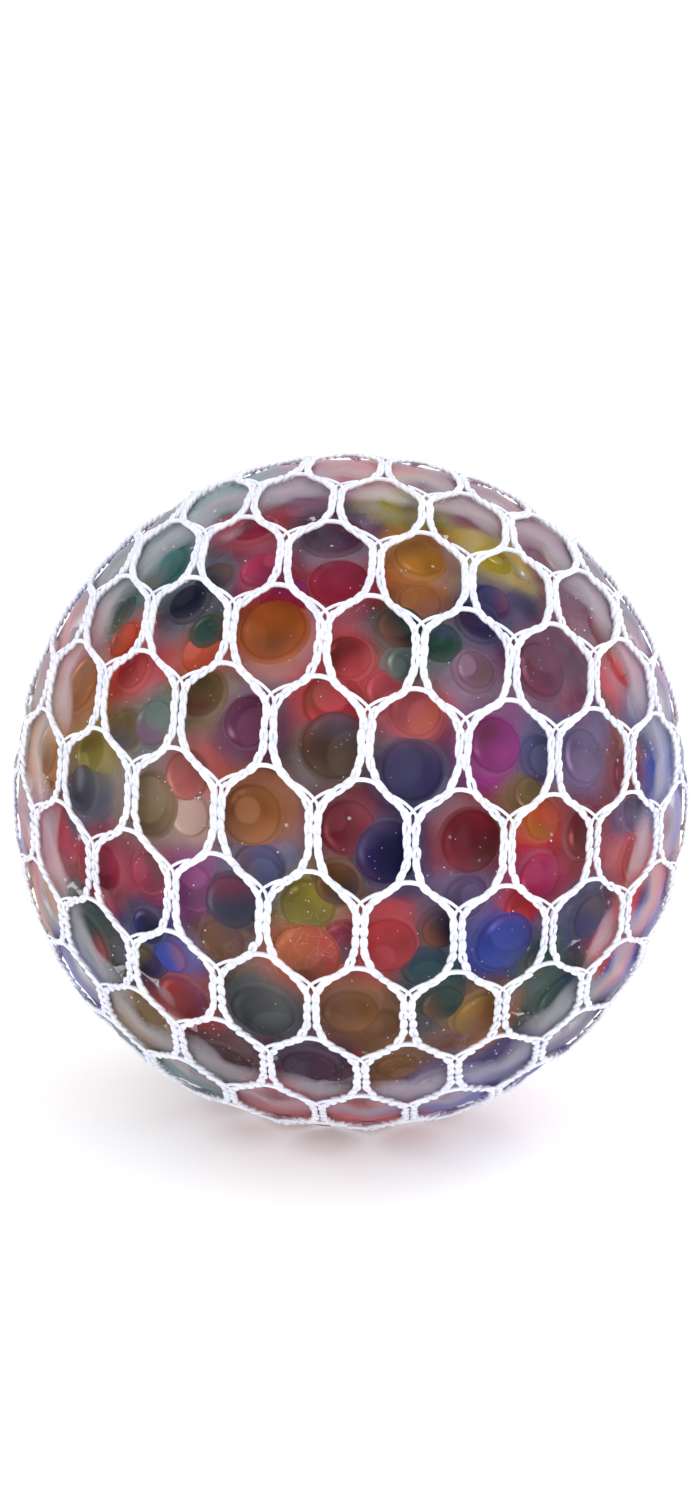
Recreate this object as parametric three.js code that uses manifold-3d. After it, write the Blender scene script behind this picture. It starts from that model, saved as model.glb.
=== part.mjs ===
// Squeeze ball: a clear elastic bladder packed with coloured gel beads, worn in a knitted
// hexagonal net that is gathered and bound with thread at the back.
// Millimetres, +Z up. The open face of the net looks along -Y and the gather along +Y.
// The ball stands on a small flat that its own weight presses into the net at the bottom.

import * as THREE from "three";
import { mergeVertices } from "three/addons/utils/BufferGeometryUtils.js";
import Module from "manifold-3d";

const wasm = await Module();
wasm.setup();

// Driving dimensions
const bladderDiameter = 64;
const bladderWall = 0.9;
const seatGap = 0.3;
const yarnThickness = 0.9;
const barWidth = 1.75;
const limbWidth = 0.95;
const columnPitch = 9.12;
const rowPitch = 9.08;
const netBlankRadius = 78.5;
const footDepth = 0.5;

// Filling hole and its stopper
const holeDiameter = 6;
const bossWall = 2.6;
const bossDepth = 4.4;
const plugHeadDiameter = 8.6;
const plugHeadThickness = 1.1;
const plugShankLength = 3;
const plugTipShare = 0.85;
const plugTaperShare = 0.3;
const plugCrownShare = 0.7;

// Gathered end of the net and the thread round it
const collarRadius = 11;
const collarBulge = 0.35;
const neckDiameter = 5;
const tuftDiameter = 11;
const tuftLength = 5.2;
const pleatDepth = 0.5;
const flareShare = 0.8;
const tuftHollowShare = 0.25;
const threadDiameter = 0.9;
const threadSpacing = 0.5;
const threadTurns = 3;

// Gel beads
const beadDiameter = 8.4;
const smallBeadDiameter = 6;
const beadPitch = 7.8;
const beadToPatchShare = 1.42;
const mostPatchShare = 0.8;
const packedPatch = 2.4;
const packedPatchDrift = 0.5;
const packedTurn = 2.4;
const packedApart = 5.6;
const rootDepth = 1.2;
const rootShare = 0.5;
const valleyDepth = 2;

// The photograph's view of the ball, for the beads that are read off it
const pictureMiddle = [347.5, 789];
const pictureFocal = 4007;
const pictureDistanceShare = 12;
const pictureRight = 0.06;
const pictureUp = 0.25;
const pictureRoll = THREE.MathUtils.degToRad(2.53);
const sightDepth = 0.34;
const patchSpreadShare = 1.035;

// How the net lies: shares of a column or a row, and shares that widen it away from its middle
const barShare = 0.72;
const middleColumnShare = -0.3685;
const middleRowShare = -0.4189;
const leanShare = -0.1;
const fanShare = 0.152;
const widenShare = 0.094;
const netTurn = THREE.MathUtils.degToRad(-4.6);
const fanFadeStart = THREE.MathUtils.degToRad(70);
const fanFadeEnd = THREE.MathUtils.degToRad(130);
const stretchStart = THREE.MathUtils.degToRad(75);
const archLimit = THREE.MathUtils.degToRad(85);
const archShare = 0.14;
const crowdShare = 0.55;
const cornerReachShare = 0.45;

// How finely the round pieces are faceted
const bladderSides = 26;
const bladderSteps = 12;
const plugSides = 18;
const pleats = 14;
const sidesPerPleat = 2;
const threadSides = 5;
const threadSteps = 16;
const packSteps = 9;
const widestStepShare = 1.3;
const packTolerance = 0.2;
const beadSides = 9;
const upperBelt = THREE.MathUtils.degToRad(80);
const lowerBelt = THREE.MathUtils.degToRad(125);

// Worked-out sizes
const bladderRadius = bladderDiameter / 2;
const innerRadius = bladderRadius - bladderWall;
const barChordSag = (barShare * rowPitch) ** 2 / (8 * bladderRadius);
const netInner = bladderRadius + seatGap + 2 * barChordSag;
const netOuter = netInner + yarnThickness;
const footHeight = netOuter - footDepth;
const beadRadius = beadDiameter / 2;
const facetShare = Math.cos(Math.PI / bladderSides) * Math.cos(Math.PI / (2 * bladderSteps));
const wallReach = innerRadius * facetShare - seatGap;
const threadPitch = threadDiameter + threadSpacing;
const neckLength = (threadTurns + 1) * threadPitch;
const neckBase = netOuter + threadDiameter;
const tailEnd = neckBase + neckLength + tuftLength;

// Gel beads that show at the front, each a solid of its own: the middle of the patch it presses
// on the bladder, across and down in the photograph's pixels, the patch's width, and its colour
const frontPatches = [
  [312, 489, 43, "violet"],
  [252, 529, 41, "crimson"],
  [330, 535, 58, "violet"],
  [415, 559, 48, "amber"],
  [187, 602, 39, "navy"],
  [260, 571, 43, "crimson"],
  [271, 629, 64, "orange"],
  [336, 583, 56, "crimson"],
  [397, 627, 45, "green"],
  [475, 620, 41, "navy"],
  [83, 682, 56, "orange"],
  [133, 669, 38, "red"],
  [345, 657, 43, "red"],
  [470, 669, 37, "mauve"],
  [535, 669, 54, "violet"],
  [50, 747, 50, "amber"],
  [154, 721, 44, "green"],
  [200, 692, 46, "olive"],
  [247, 720, 48, "violet"],
  [332, 743, 62, "olive"],
  [411, 710, 48, "red"],
  [490, 743, 52, "magenta"],
  [637, 702, 44, "navy"],
  [83, 786, 44, "navy"],
  [150, 802, 58, "olive"],
  [408, 768, 56, "navy"],
  [576, 754, 52, "violet"],
  [618, 773, 42, "red"],
  [48, 830, 48, "crimson"],
  [105, 864, 43, "crimson"],
  [148, 869, 38, "crimson"],
  [250, 812, 56, "orange"],
  [383, 849, 58, "navy"],
  [466, 838, 58, "red"],
  [578, 830, 48, "red"],
  [626, 856, 46, "red"],
  [148, 922, 36, "navy"],
  [230, 898, 52, "navy"],
  [334, 880, 40, "orange"],
  [533, 873, 45, "crimson"],
  [583, 912, 45, "navy"],
  [91, 935, 56, "green"],
  [303, 951, 66, "orange"],
  [383, 941, 56, "red"],
  [499, 937, 60, "blue"],
  [552, 990, 54, "green"],
  [608, 931, 42, "red"],
  [183, 993, 54, "red"],
  [260, 1006, 62, "green"],
  [347, 1006, 53, "amber"],
  [476, 1009, 58, "amber"],
  [224, 1054, 55, "crimson"],
  [307, 1060, 53, "violet"],
  [393, 1060, 42, "orange"],
  [432, 1074, 42, "violet"],
];

// Gel beads between them, which are part of the bead pack: the same without a colour
const packPatches = [
  [232, 497, 40],
  [397, 503, 37],
  [471, 509, 38],
  [490, 558, 26],
  [117, 613, 36],
  [212, 577, 38],
  [282, 596, 46],
  [416, 602, 40],
  [488, 600, 34],
  [124, 639, 36],
  [200, 652, 42],
  [206, 631, 34],
  [401, 664, 36],
  [437, 640, 32],
  [598, 632, 32],
  [615, 663, 40],
  [89, 750, 40],
  [124, 728, 40],
  [330, 700, 56],
  [384, 690, 42],
  [663, 741, 40],
  [185, 773, 46],
  [522, 791, 30],
  [533, 756, 44],
  [628, 806, 38],
  [655, 786, 42],
  [187, 812, 42],
  [256, 867, 50],
  [345, 825, 50],
  [537, 817, 38],
  [668, 823, 36],
  [189, 882, 46],
  [305, 902, 50],
  [436, 925, 36],
  [461, 893, 42],
  [517, 903, 38],
  [147, 957, 34],
  [169, 952, 36],
  [220, 937, 44],
  [341, 939, 44],
  [421, 962, 44],
  [536, 952, 38],
  [133, 1008, 44],
  [376, 1019, 36],
  [438, 999, 42],
  [511, 1049, 42],
  [577, 1003, 36],
  [277, 1101, 48],
  [337, 1113, 48],
  [387, 1111, 48],
];

const gelColours = {
  red: 0xb3201f,
  crimson: 0x9e1a3c,
  orange: 0xc0601d,
  amber: 0xb5761a,
  olive: 0x5a4a2c,
  green: 0x1f5236,
  blue: 0x27389a,
  navy: 0x232650,
  violet: 0x4c2560,
  magenta: 0x8d2a78,
  mauve: 0x85597a,
};

// A closed geometry with its shared corners merged
function welded(geometry) {
  const bare = geometry.index ? geometry.toNonIndexed() : geometry.clone();
  bare.deleteAttribute("normal");
  bare.deleteAttribute("uv");
  return mergeVertices(bare, 1e-4);
}

function geometryOf(points, triangles) {
  const geometry = new THREE.BufferGeometry();
  const numbers = points.flatMap((p) => [p.x, p.y, p.z]);
  geometry.setAttribute("position", new THREE.Float32BufferAttribute(numbers, 3));
  geometry.setIndex(triangles.flat());
  return geometry;
}

function solidOf(geometry) {
  const closed = welded(geometry);
  return new wasm.Manifold(
    new wasm.Mesh({
      numProp: 3,
      vertProperties: new Float32Array(closed.attributes.position.array),
      triVerts: new Uint32Array(closed.index.array),
    }),
  );
}

function geometryOfSolid(solid) {
  const mesh = solid.getMesh();
  const geometry = new THREE.BufferGeometry();
  geometry.setAttribute("position", new THREE.BufferAttribute(mesh.vertProperties, 3));
  geometry.setIndex(new THREE.BufferAttribute(mesh.triVerts, 1));
  return geometry;
}

// A direction, given by its angle from the middle of the net's face and its clock angle
function direction(fromMiddle, clock) {
  const across = Math.sin(fromMiddle);
  return new THREE.Vector3(across * Math.cos(clock), -Math.cos(fromMiddle), across * Math.sin(clock));
}

// Angle from the middle at which the net disappears into its gather
const gatherAngle = Math.PI - Math.asin(collarRadius / netOuter);
const blankAngle = netBlankRadius / netOuter;
const pull = (gatherAngle - blankAngle) / (blankAngle - stretchStart) ** 2;

// Where a column and row of the flat net come to lie on the ball: the flat net is wrapped
// outwards from its middle, its columns fan apart, and past the sides it is pulled to the gather
function netPlace(column, row) {
  const up = ((row - middleRowShare) * rowPitch) / netOuter;
  const along = ((column - middleColumnShare) * columnPitch) / netOuter + leanShare * up;
  const s = along * Math.cos(netTurn) - up * Math.sin(netTurn);
  const t = along * Math.sin(netTurn) + up * Math.cos(netTurn);
  const fade = 1 - THREE.MathUtils.smoothstep(Math.hypot(s, t), fanFadeStart, fanFadeEnd);
  const across = s * (1 + fade * (fanShare * t ** 2 + widenShare * s ** 2));
  const flat = Math.hypot(across, t);
  const stretched = flat + (flat > stretchStart ? pull * (flat - stretchStart) ** 2 : 0);
  return { angle: stretched, clock: Math.atan2(t, across), flat };
}

// The net's knots and the threads between them, out to the gather
function netGraph() {
  const knots = new Map();
  const reach = Math.ceil(netBlankRadius / Math.min(columnPitch, rowPitch)) + 2;
  const buried = gatherAngle + limbWidth / netOuter;
  const knotAt = (halfColumn, row, end) => {
    const key = `${halfColumn},${row},${end}`;
    if (!knots.has(key)) {
      const place = netPlace(halfColumn / 2, row + (end * barShare) / 2);
      const inside = place.angle < gatherAngle;
      const dir = direction(inside ? place.angle : buried, place.clock);
      const crowd = place.flat ? (Math.sin(place.angle) * columnPitch) / place.flat : columnPitch;
      const arch = end < 0 && place.angle < archLimit;
      knots.set(key, { dir, inside, arch, limbs: [], crowd: inside ? crowd : 0 });
    }
    return knots.get(key);
  };
  const tie = (a, b, width) => {
    if (!a.inside && !b.inside) return;
    a.limbs.push({ to: b, width });
    b.limbs.push({ to: a, width });
  };
  for (let row = -reach; row <= reach; row++) {
    for (let half = -2 * reach; half <= 2 * reach; half++) {
      if ((half + row) % 2 === 0) continue;
      const top = knotAt(half, row, 1);
      tie(top, knotAt(half, row, -1), barWidth);
      tie(top, knotAt(half - 1, row + 1, -1), limbWidth);
      tie(top, knotAt(half + 1, row + 1, -1), limbWidth);
    }
  }
  return [...knots.values()].filter((knot) => knot.limbs.length);
}

// The corners of the cloth round one knot: one in each gap between its threads, or two where
// the window below is arched
function knotCorners(knot) {
  const east = new THREE.Vector3(0, 0, 1).cross(knot.dir).normalize();
  const north = knot.dir.clone().cross(east);
  const flat = (v) => new THREE.Vector2(v.dot(east), v.dot(north));
  const limbs = knot.limbs.map((limb) => {
    const run = flat(limb.to.dir.clone().sub(knot.dir)).multiplyScalar(netOuter);
    const spare = Math.min(knot.crowd || limb.to.crowd, limb.to.crowd || knot.crowd);
    const half = Math.min(limb.width, crowdShare * spare) / 2;
    return { ...limb, length: run.length(), run: run.normalize(), half, turn: run.angle() };
  });
  limbs.sort((a, b) => a.turn - b.turn);
  const lift = (p) => {
    const bent = knot.dir.clone().multiplyScalar(netOuter);
    return bent.addScaledVector(east, p.x).addScaledVector(north, p.y).normalize();
  };
  const edgePoint = (limb, side, reach) =>
    new THREE.Vector2(-limb.run.y, limb.run.x)
      .multiplyScalar(side * limb.half)
      .addScaledVector(limb.run, reach);
  const gaps = limbs.map((limb, i) => {
    const next = limbs[(i + 1) % limbs.length];
    if (next === limb) return [edgePoint(limb, 1, 0), edgePoint(limb, -1, 0)];
    let open = next.turn - limb.turn;
    if (open <= 0) open += 2 * Math.PI;
    const most = cornerReachShare * Math.min(limb.length, next.length);
    const half = (limb.half + next.half) / 2;
    const reach = Math.min(half / Math.tan(open / 2), most);
    const arched = knot.arch && limbs.length === 3 && isArch(limb, next);
    if (!arched) {
      const here = edgePoint(limb, 1, reach);
      return [here.add(edgePoint(next, -1, reach)).multiplyScalar(0.5)];
    }
    const further = Math.min(reach + archShare * rowPitch, most);
    return [edgePoint(limb, 1, further), edgePoint(next, -1, further)];
  });
  return { limbs, gaps: gaps.map((points) => points.map(lift)) };
}

// The window below a bar's lower end is arched: it lies between that end's two thin threads
function isArch(limb, next) {
  return limb.width === limbWidth && next.width === limbWidth;
}

// The knitted part of the net as one closed cloth with a window in every cell
function netCloth() {
  const points = [];
  const triangles = [];
  const graph = netGraph();
  for (const knot of graph) {
    Object.assign(knot, knotCorners(knot));
    knot.ids = knot.gaps.map((gap) =>
      gap.map((dir) => {
        points.push(dir.clone().multiplyScalar(netOuter), dir.clone().multiplyScalar(netInner));
        return points.length - 2;
      }),
    );
  }
  const face = (ids) => {
    for (let i = 1; i < ids.length - 1; i++) {
      triangles.push([ids[0], ids[i], ids[i + 1]]);
      triangles.push([ids[0] + 1, ids[i + 1] + 1, ids[i] + 1]);
    }
  };
  const wall = (a, b) => triangles.push([b, a, a + 1], [b, a + 1, b + 1]);
  const sides = (knot, other) => {
    const i = knot.limbs.findIndex((limb) => limb.to === other);
    const before = knot.ids[(i + knot.ids.length - 1) % knot.ids.length];
    return { left: knot.ids[i][0], right: before[before.length - 1] };
  };
  const done = new Set();
  for (const knot of graph) {
    if (knot.ids.flat().length > 2) face(knot.ids.flat());
    for (const gap of knot.ids) if (gap.length > 1) wall(gap[0], gap[1]);
    for (const limb of knot.limbs) {
      if (done.has(limb.to)) continue;
      const a = sides(knot, limb.to);
      const b = sides(limb.to, knot);
      face([a.right, b.left, b.right, a.left]);
      wall(a.right, b.left);
      wall(b.right, a.left);
    }
    done.add(knot);
  }
  return geometryOf(points, triangles);
}

// A closed surface round the Y axis from rings of [radius, height, pleat depth]
function pleatedSolid(rings) {
  const count = pleats * sidesPerPleat;
  const points = [];
  const triangles = [];
  for (const [radius, height, depth] of rings) {
    for (let i = 0; i < count; i++) {
      const turn = (2 * Math.PI * i) / count;
      const r = radius + (i % sidesPerPleat === 0 ? depth : -depth);
      points.push(new THREE.Vector3(r * Math.cos(turn), height, r * Math.sin(turn)));
    }
  }
  for (let k = 0; k < rings.length - 1; k++) {
    for (let i = 0; i < count; i++) {
      const a = k * count + i;
      const b = k * count + ((i + 1) % count);
      triangles.push([a, a + count, b], [b, a + count, b + count]);
    }
  }
  const low = points.push(new THREE.Vector3(0, rings[0][1], 0)) - 1;
  const high = points.push(new THREE.Vector3(0, rings[rings.length - 1][1], 0)) - 1;
  const last = (rings.length - 1) * count;
  for (let i = 0; i < count; i++) {
    triangles.push([low, i, (i + 1) % count]);
    triangles.push([high, last + ((i + 1) % count), last + i]);
  }
  return geometryOf(points, triangles);
}

// The net's gathered end: a pleated cap on the bladder, a bound neck and a flared tuft
function netGather() {
  const neck = neckDiameter / 2;
  const tuft = tuftDiameter / 2;
  const onBall = (radius, ball) => Math.sqrt(ball ** 2 - radius ** 2);
  const rim = collarRadius;
  const half = (collarRadius + neck) / 2;
  const inner = netInner - barChordSag;
  const outer = netOuter + collarBulge;
  return pleatedSolid([
    [neck / 2, onBall(neck / 2, inner), 0],
    [half, onBall(half, inner), 0],
    [rim, onBall(rim, inner), 0],
    [rim, onBall(rim, outer), 0],
    [half, onBall(half, outer) + threadDiameter / 2, pleatDepth / 2],
    [neck, neckBase, pleatDepth / 2],
    [neck, neckBase + neckLength, pleatDepth / 2],
    [tuft * flareShare, neckBase + neckLength + tuftLength / 2, pleatDepth],
    [tuft, tailEnd, pleatDepth],
    [neck, tailEnd - tuftLength * tuftHollowShare, pleatDepth / 2],
  ]);
}

// The whole net, cut flat where the ball stands on it
function netGeometry() {
  const whole = solidOf(netCloth()).add(solidOf(netGather()));
  const block = new THREE.BoxGeometry(2 * netOuter, 2 * netOuter, netOuter);
  block.translate(0, 0, -footHeight - netOuter / 2);
  return geometryOfSolid(whole.subtract(solidOf(block)));
}

// Arc of a circle round the origin as profile points [across, along], angles from the back
function arcPoints(radius, from, to, steps) {
  return Array.from({ length: steps + 1 }, (_, i) => {
    const angle = from + ((to - from) * i) / steps;
    return new THREE.Vector2(radius * Math.sin(angle), radius * Math.cos(angle));
  });
}

// The bladder: a thin ball with a thick lip round its filling hole and a seat for the stopper
function bladderGeometry() {
  const hole = holeDiameter / 2;
  const seat = plugHeadDiameter / 2 + seatGap;
  const boss = Math.max(hole, seat) + bossWall;
  const seatDepth = bladderRadius - plugHeadThickness - seatGap;
  const bossEnd = bladderRadius - bossDepth;
  const outer = arcPoints(bladderRadius, Math.PI, Math.asin(seat / bladderRadius), bladderSteps);
  const inner = arcPoints(innerRadius, Math.asin(boss / innerRadius), Math.PI, bladderSteps);
  outer[0].x = 0;
  inner[inner.length - 1].x = 0;
  const lip = [
    new THREE.Vector2(seat, seatDepth - seatGap),
    new THREE.Vector2(hole, seatDepth - seatGap),
    new THREE.Vector2(hole, bossEnd),
    new THREE.Vector2(boss, bossEnd),
  ];
  return new THREE.LatheGeometry([...outer, ...lip, ...inner], bladderSides);
}

// The stopper: a flat head in the seat and a shank that fills the hole
function plugGeometry() {
  const head = plugHeadDiameter / 2;
  const shank = holeDiameter / 2 - seatGap;
  const under = bladderRadius - plugHeadThickness - seatGap;
  const top = Math.sqrt(bladderRadius ** 2 - head ** 2);
  const profile = [
    new THREE.Vector2(0, under - plugShankLength),
    new THREE.Vector2(shank * plugTipShare, under - plugShankLength),
    new THREE.Vector2(shank, under - plugShankLength * (1 - plugTaperShare)),
    new THREE.Vector2(shank, under),
    new THREE.Vector2(head, under),
    new THREE.Vector2(head, top - seatGap),
    new THREE.Vector2(head * plugCrownShare, top),
    new THREE.Vector2(0, top),
  ];
  return new THREE.LatheGeometry(profile, plugSides);
}

// The binding thread: a helix round the gathered neck
class Winding extends THREE.Curve {
  getPoint(t, target = new THREE.Vector3()) {
    const turn = 2 * Math.PI * threadTurns * t;
    const radius = neckDiameter / 2 + pleatDepth / 2 + seatGap + threadDiameter / 2;
    const start = neckBase + threadPitch / 2;
    const along = start + threadPitch * threadTurns * t;
    return target.set(radius * Math.cos(turn), along, radius * Math.sin(turn));
  }
}

function threadGeometry() {
  const section = new THREE.Shape();
  for (let i = 0; i < threadSides; i++) {
    const turn = (2 * Math.PI * i) / threadSides;
    const x = (threadDiameter / 2) * Math.cos(turn);
    const y = (threadDiameter / 2) * Math.sin(turn);
    if (i === 0) section.moveTo(x, y);
    else section.lineTo(x, y);
  }
  section.closePath();
  return new THREE.ExtrudeGeometry(section, {
    steps: threadSteps * threadTurns,
    extrudePath: new Winding(),
    bevelEnabled: false,
  });
}

// Prints the least gap between neighbouring turns of the binding thread
function reportWindingGap() {
  const curve = new Winding();
  const points = curve.getPoints(threadSteps * threadTurns);
  let least = Infinity;
  points.forEach((p, i) => {
    for (let j = i + Math.round(threadSteps / 2); j < points.length; j++) {
      least = Math.min(least, p.distanceTo(points[j]) - threadDiameter);
    }
  });
  console.log(`least gap between the thread's turns ${least.toFixed(2)} mm`);
}

// Where the line of sight through a point of the photograph meets the ball of the patches
function pictureDirection(x, y) {
  const back = new THREE.Vector3(Math.sin(pictureRight), -Math.cos(pictureRight), 0);
  back.multiplyScalar(Math.cos(pictureUp)).setZ(Math.sin(pictureUp));
  const level = new THREE.Vector3(0, 0, 1).cross(back).normalize();
  const right = level.applyAxisAngle(back, pictureRoll);
  const up = back.clone().cross(right);
  const eye = back.clone().multiplyScalar(pictureDistanceShare * netOuter);
  const sight = back.clone().negate();
  sight.addScaledVector(right, (x - pictureMiddle[0]) / pictureFocal);
  sight.addScaledVector(up, (pictureMiddle[1] - y) / pictureFocal).normalize();
  const half = sight.dot(eye);
  const inside = half ** 2 - eye.lengthSq() + (bladderRadius - sightDepth) ** 2;
  return eye.addScaledVector(sight, -half - Math.sqrt(Math.max(inside, 0))).normalize();
}

// A bead that presses a patch on the bladder: the smaller its patch, the smaller the bead
function seatedBead(dir, patch, colour) {
  const wanted = patch * beadToPatchShare;
  const radius = THREE.MathUtils.clamp(wanted, smallBeadDiameter / 2, beadRadius);
  const face = Math.min(patch, radius * mostPatchShare);
  const depth = Math.sqrt(wallReach ** 2 - face ** 2) - Math.sqrt(radius ** 2 - face ** 2);
  return { dir, radius, face, colour, at: dir.clone().multiplyScalar(depth) };
}

// A bead of the photograph, by its patch's place and width in pixels
function pictureBead([x, y, width, colour]) {
  const away = pictureDistanceShare * netOuter - bladderRadius + sightDepth;
  const patch = ((width / 2) * away * patchSpreadShare) / pictureFocal;
  return seatedBead(pictureDirection(x, y), patch, colour);
}

// Evenly spread directions, from the front to the back along a spiral
function spiralDirections(count) {
  const goldenTurn = Math.PI * (3 - Math.sqrt(5));
  return Array.from({ length: count }, (_, i) =>
    direction(Math.acos(1 - (2 * i + 1) / count), goldenTurn * i),
  );
}

// The beads of the outer layer that the photograph doesn't show, clear of those that it does
function packedBeads(seen) {
  const count = Math.round((4 * Math.PI * bladderRadius ** 2) / beadPitch ** 2);
  return spiralDirections(count)
    .map((dir, i) => {
      const patch = packedPatch + packedPatchDrift * Math.sin(packedTurn * i);
      return seatedBead(dir, patch);
    })
    .filter(({ dir }) => seen.every((bead) => bead.dir.distanceTo(dir) * bladderRadius > packedApart));
}

// One bead: a ball pressed flat against the bladder and against each neighbour, half-way by
// their sizes. With a root depth its far half is drawn down to it, so that it joins the heap.
function beadGeometry(bead, others, root) {
  const right = new THREE.Vector3(0, 0, 1).cross(bead.dir).normalize();
  const up = bead.dir.clone().cross(right);
  const walls = others
    .filter((other) => other !== bead)
    .map((other) => {
      const away = other.at.clone().sub(bead.at);
      const share = bead.radius / (bead.radius + other.radius);
      return { reach: away.length() * share - seatGap / 2, away: away.normalize() };
    });
  const pressed = ([across, along], clock) => {
    const p = bead.at.clone().addScaledVector(bead.dir, along);
    p.addScaledVector(right, across * Math.cos(clock));
    p.addScaledVector(up, across * Math.sin(clock));
    if (p.length() > wallReach) p.setLength(wallReach);
    p.sub(bead.at);
    for (const { away, reach } of walls) {
      if (p.dot(away) > reach) p.multiplyScalar(reach / p.dot(away));
    }
    return p.add(bead.at);
  };
  const belt = (tilt) => [bead.radius * Math.sin(tilt), bead.radius * Math.cos(tilt)];
  const low = root ? root - bead.at.length() : -bead.radius;
  const rings = [belt(Math.asin(bead.face / bead.radius)), belt(upperBelt)];
  rings.push(root ? [bead.radius * rootShare, low] : belt(lowerBelt));
  const points = rings.flatMap((ring) =>
    Array.from({ length: beadSides }, (_, i) => pressed(ring, (2 * Math.PI * i) / beadSides)),
  );
  const top = points.push(pressed([0, bead.radius], 0)) - 1;
  const end = points.push(pressed([0, low], 0)) - 1;
  const last = (rings.length - 1) * beadSides;
  const triangles = [];
  for (let i = 0; i < beadSides; i++) {
    const j = (i + 1) % beadSides;
    triangles.push([top, i, j], [end, last + j, last + i]);
    for (let k = 0; k < last; k += beadSides) {
      triangles.push([k + i, k + beadSides + i, k + j], [k + j, k + beadSides + i, k + beadSides + j]);
    }
  }
  return geometryOf(points, triangles);
}

// How far a ray from the middle of the ball runs before it leaves a bead, or zero
function exitOf(dir, { at, radius }) {
  const along = dir.dot(at);
  const inside = radius ** 2 - at.lengthSq() + along ** 2;
  return along > 0 && inside > 0 ? along + Math.sqrt(inside) : 0;
}

// The heap of beads under those of the photograph, which it keeps clear of, and round the back,
// as one ball, lumpy at the back
function heapGeometry(seen, top) {
  const packed = packedBeads(seen);
  const boss = Math.max(holeDiameter, plugHeadDiameter) / 2 + seatGap + bossWall;
  const bossEnd = bladderRadius - bossDepth - seatGap;
  const step = (widestStepShare * Math.atan(2)) / (packSteps + 1);
  const bossGuard = Math.atan(boss / bossEnd) + step;
  const back = direction(Math.PI, 0);
  const ball = welded(new THREE.IcosahedronGeometry(1, packSteps));
  const corners = ball.attributes.position;
  const dir = new THREE.Vector3();
  for (let i = 0; i < corners.count; i++) {
    dir.fromBufferAttribute(corners, i).normalize();
    const shut = seen.some((bead) => {
      const guard = Math.asin((bead.radius + seatGap) / bead.at.length()) + step;
      return dir.angleTo(bead.dir) < guard;
    });
    const least = shut ? top : wallReach - valleyDepth;
    let most = shut ? top : wallReach;
    if (dir.angleTo(back) < bossGuard) most = Math.min(most, bossEnd);
    const reach = Math.max(least, ...packed.map((bead) => exitOf(dir, bead)));
    dir.multiplyScalar(Math.min(reach, most));
    corners.setXYZ(i, dir.x, dir.y, dir.z);
  }
  return ball;
}

// The bead pack: the heap and, rooted in it, the beads that stand between the front ones. One
// that is pressed too thin to reach the heap is left out.
function packGeometry(shown, between) {
  const top = Math.min(...shown.map(({ at, radius }) => at.length() - radius)) - seatGap;
  const seen = [...shown, ...between];
  let pack = solidOf(heapGeometry(seen, top));
  for (const bead of between) {
    pack = pack.add(solidOf(beadGeometry(bead, seen, top - rootDepth)));
  }
  const bodies = pack.decompose().sort((a, b) => b.volume() - a.volume());
  console.log(`bead pack: ${bodies.length - 1} of ${between.length} beads between left out`);
  return geometryOfSolid(bodies[0].simplify(packTolerance));
}

function piece(name, geometry, look) {
  const mesh = new THREE.Mesh(geometry, new THREE.MeshStandardMaterial(look));
  mesh.name = name;
  return mesh;
}

const ball = new THREE.Group();
const front = frontPatches.map(pictureBead);
const between = packPatches.map(pictureBead);
const cloth = { color: 0xe6e9f6, roughness: 0.85, metalness: 0 };
const skin = { color: 0xd9d6dc, roughness: 0.25, metalness: 0, transparent: true, opacity: 0.3 };

ball.add(piece("net", netGeometry(), cloth));
ball.add(piece("binding_thread", threadGeometry(), cloth));
ball.add(piece("bladder", bladderGeometry(), skin));
ball.add(piece("fill_plug", plugGeometry(), skin));
ball.add(piece("bead_pack", packGeometry(front, between), { color: 0x8b5a4a, roughness: 0.3 }));
front.forEach((bead, i) => {
  const name = `bead_${String(i + 1).padStart(2, "0")}`;
  const look = { color: gelColours[bead.colour], roughness: 0.15, metalness: 0 };
  ball.add(piece(name, beadGeometry(bead, [...front, ...between]), look));
});
reportWindingGap();

// The origin lies under the middle of the whole ball, tail included, on the surface it stands on
ball.position.set(0, (netOuter - tailEnd) / 2, footHeight);

const part = new THREE.Group();
part.add(ball);

export default part;
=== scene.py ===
"""Squeeze ball: a clear elastic skin packed with coloured gel beads, worn in a white knitted net
of hexagonal windows that is gathered and bound with thread at the back.

Lengths are in millimetres round the middle of the ball until a mesh is made, which is in metres in
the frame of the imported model. The open face of the net looks along -Y, the gather along +Y, +Z up.
"""

import math

import bpy
import numpy as np
from mathutils import Matrix, Vector


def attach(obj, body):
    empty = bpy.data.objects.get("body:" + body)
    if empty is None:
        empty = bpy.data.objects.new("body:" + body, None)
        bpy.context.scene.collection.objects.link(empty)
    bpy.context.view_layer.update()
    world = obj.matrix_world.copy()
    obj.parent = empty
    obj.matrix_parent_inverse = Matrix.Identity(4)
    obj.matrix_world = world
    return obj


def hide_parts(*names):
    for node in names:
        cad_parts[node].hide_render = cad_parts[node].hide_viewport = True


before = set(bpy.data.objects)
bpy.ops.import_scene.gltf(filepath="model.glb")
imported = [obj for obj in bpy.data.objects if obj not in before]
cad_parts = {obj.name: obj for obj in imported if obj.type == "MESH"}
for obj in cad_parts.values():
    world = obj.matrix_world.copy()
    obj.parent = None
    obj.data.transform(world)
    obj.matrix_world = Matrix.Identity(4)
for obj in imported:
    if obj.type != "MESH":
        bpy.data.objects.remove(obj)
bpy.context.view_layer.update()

METRE = 0.001

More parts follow.
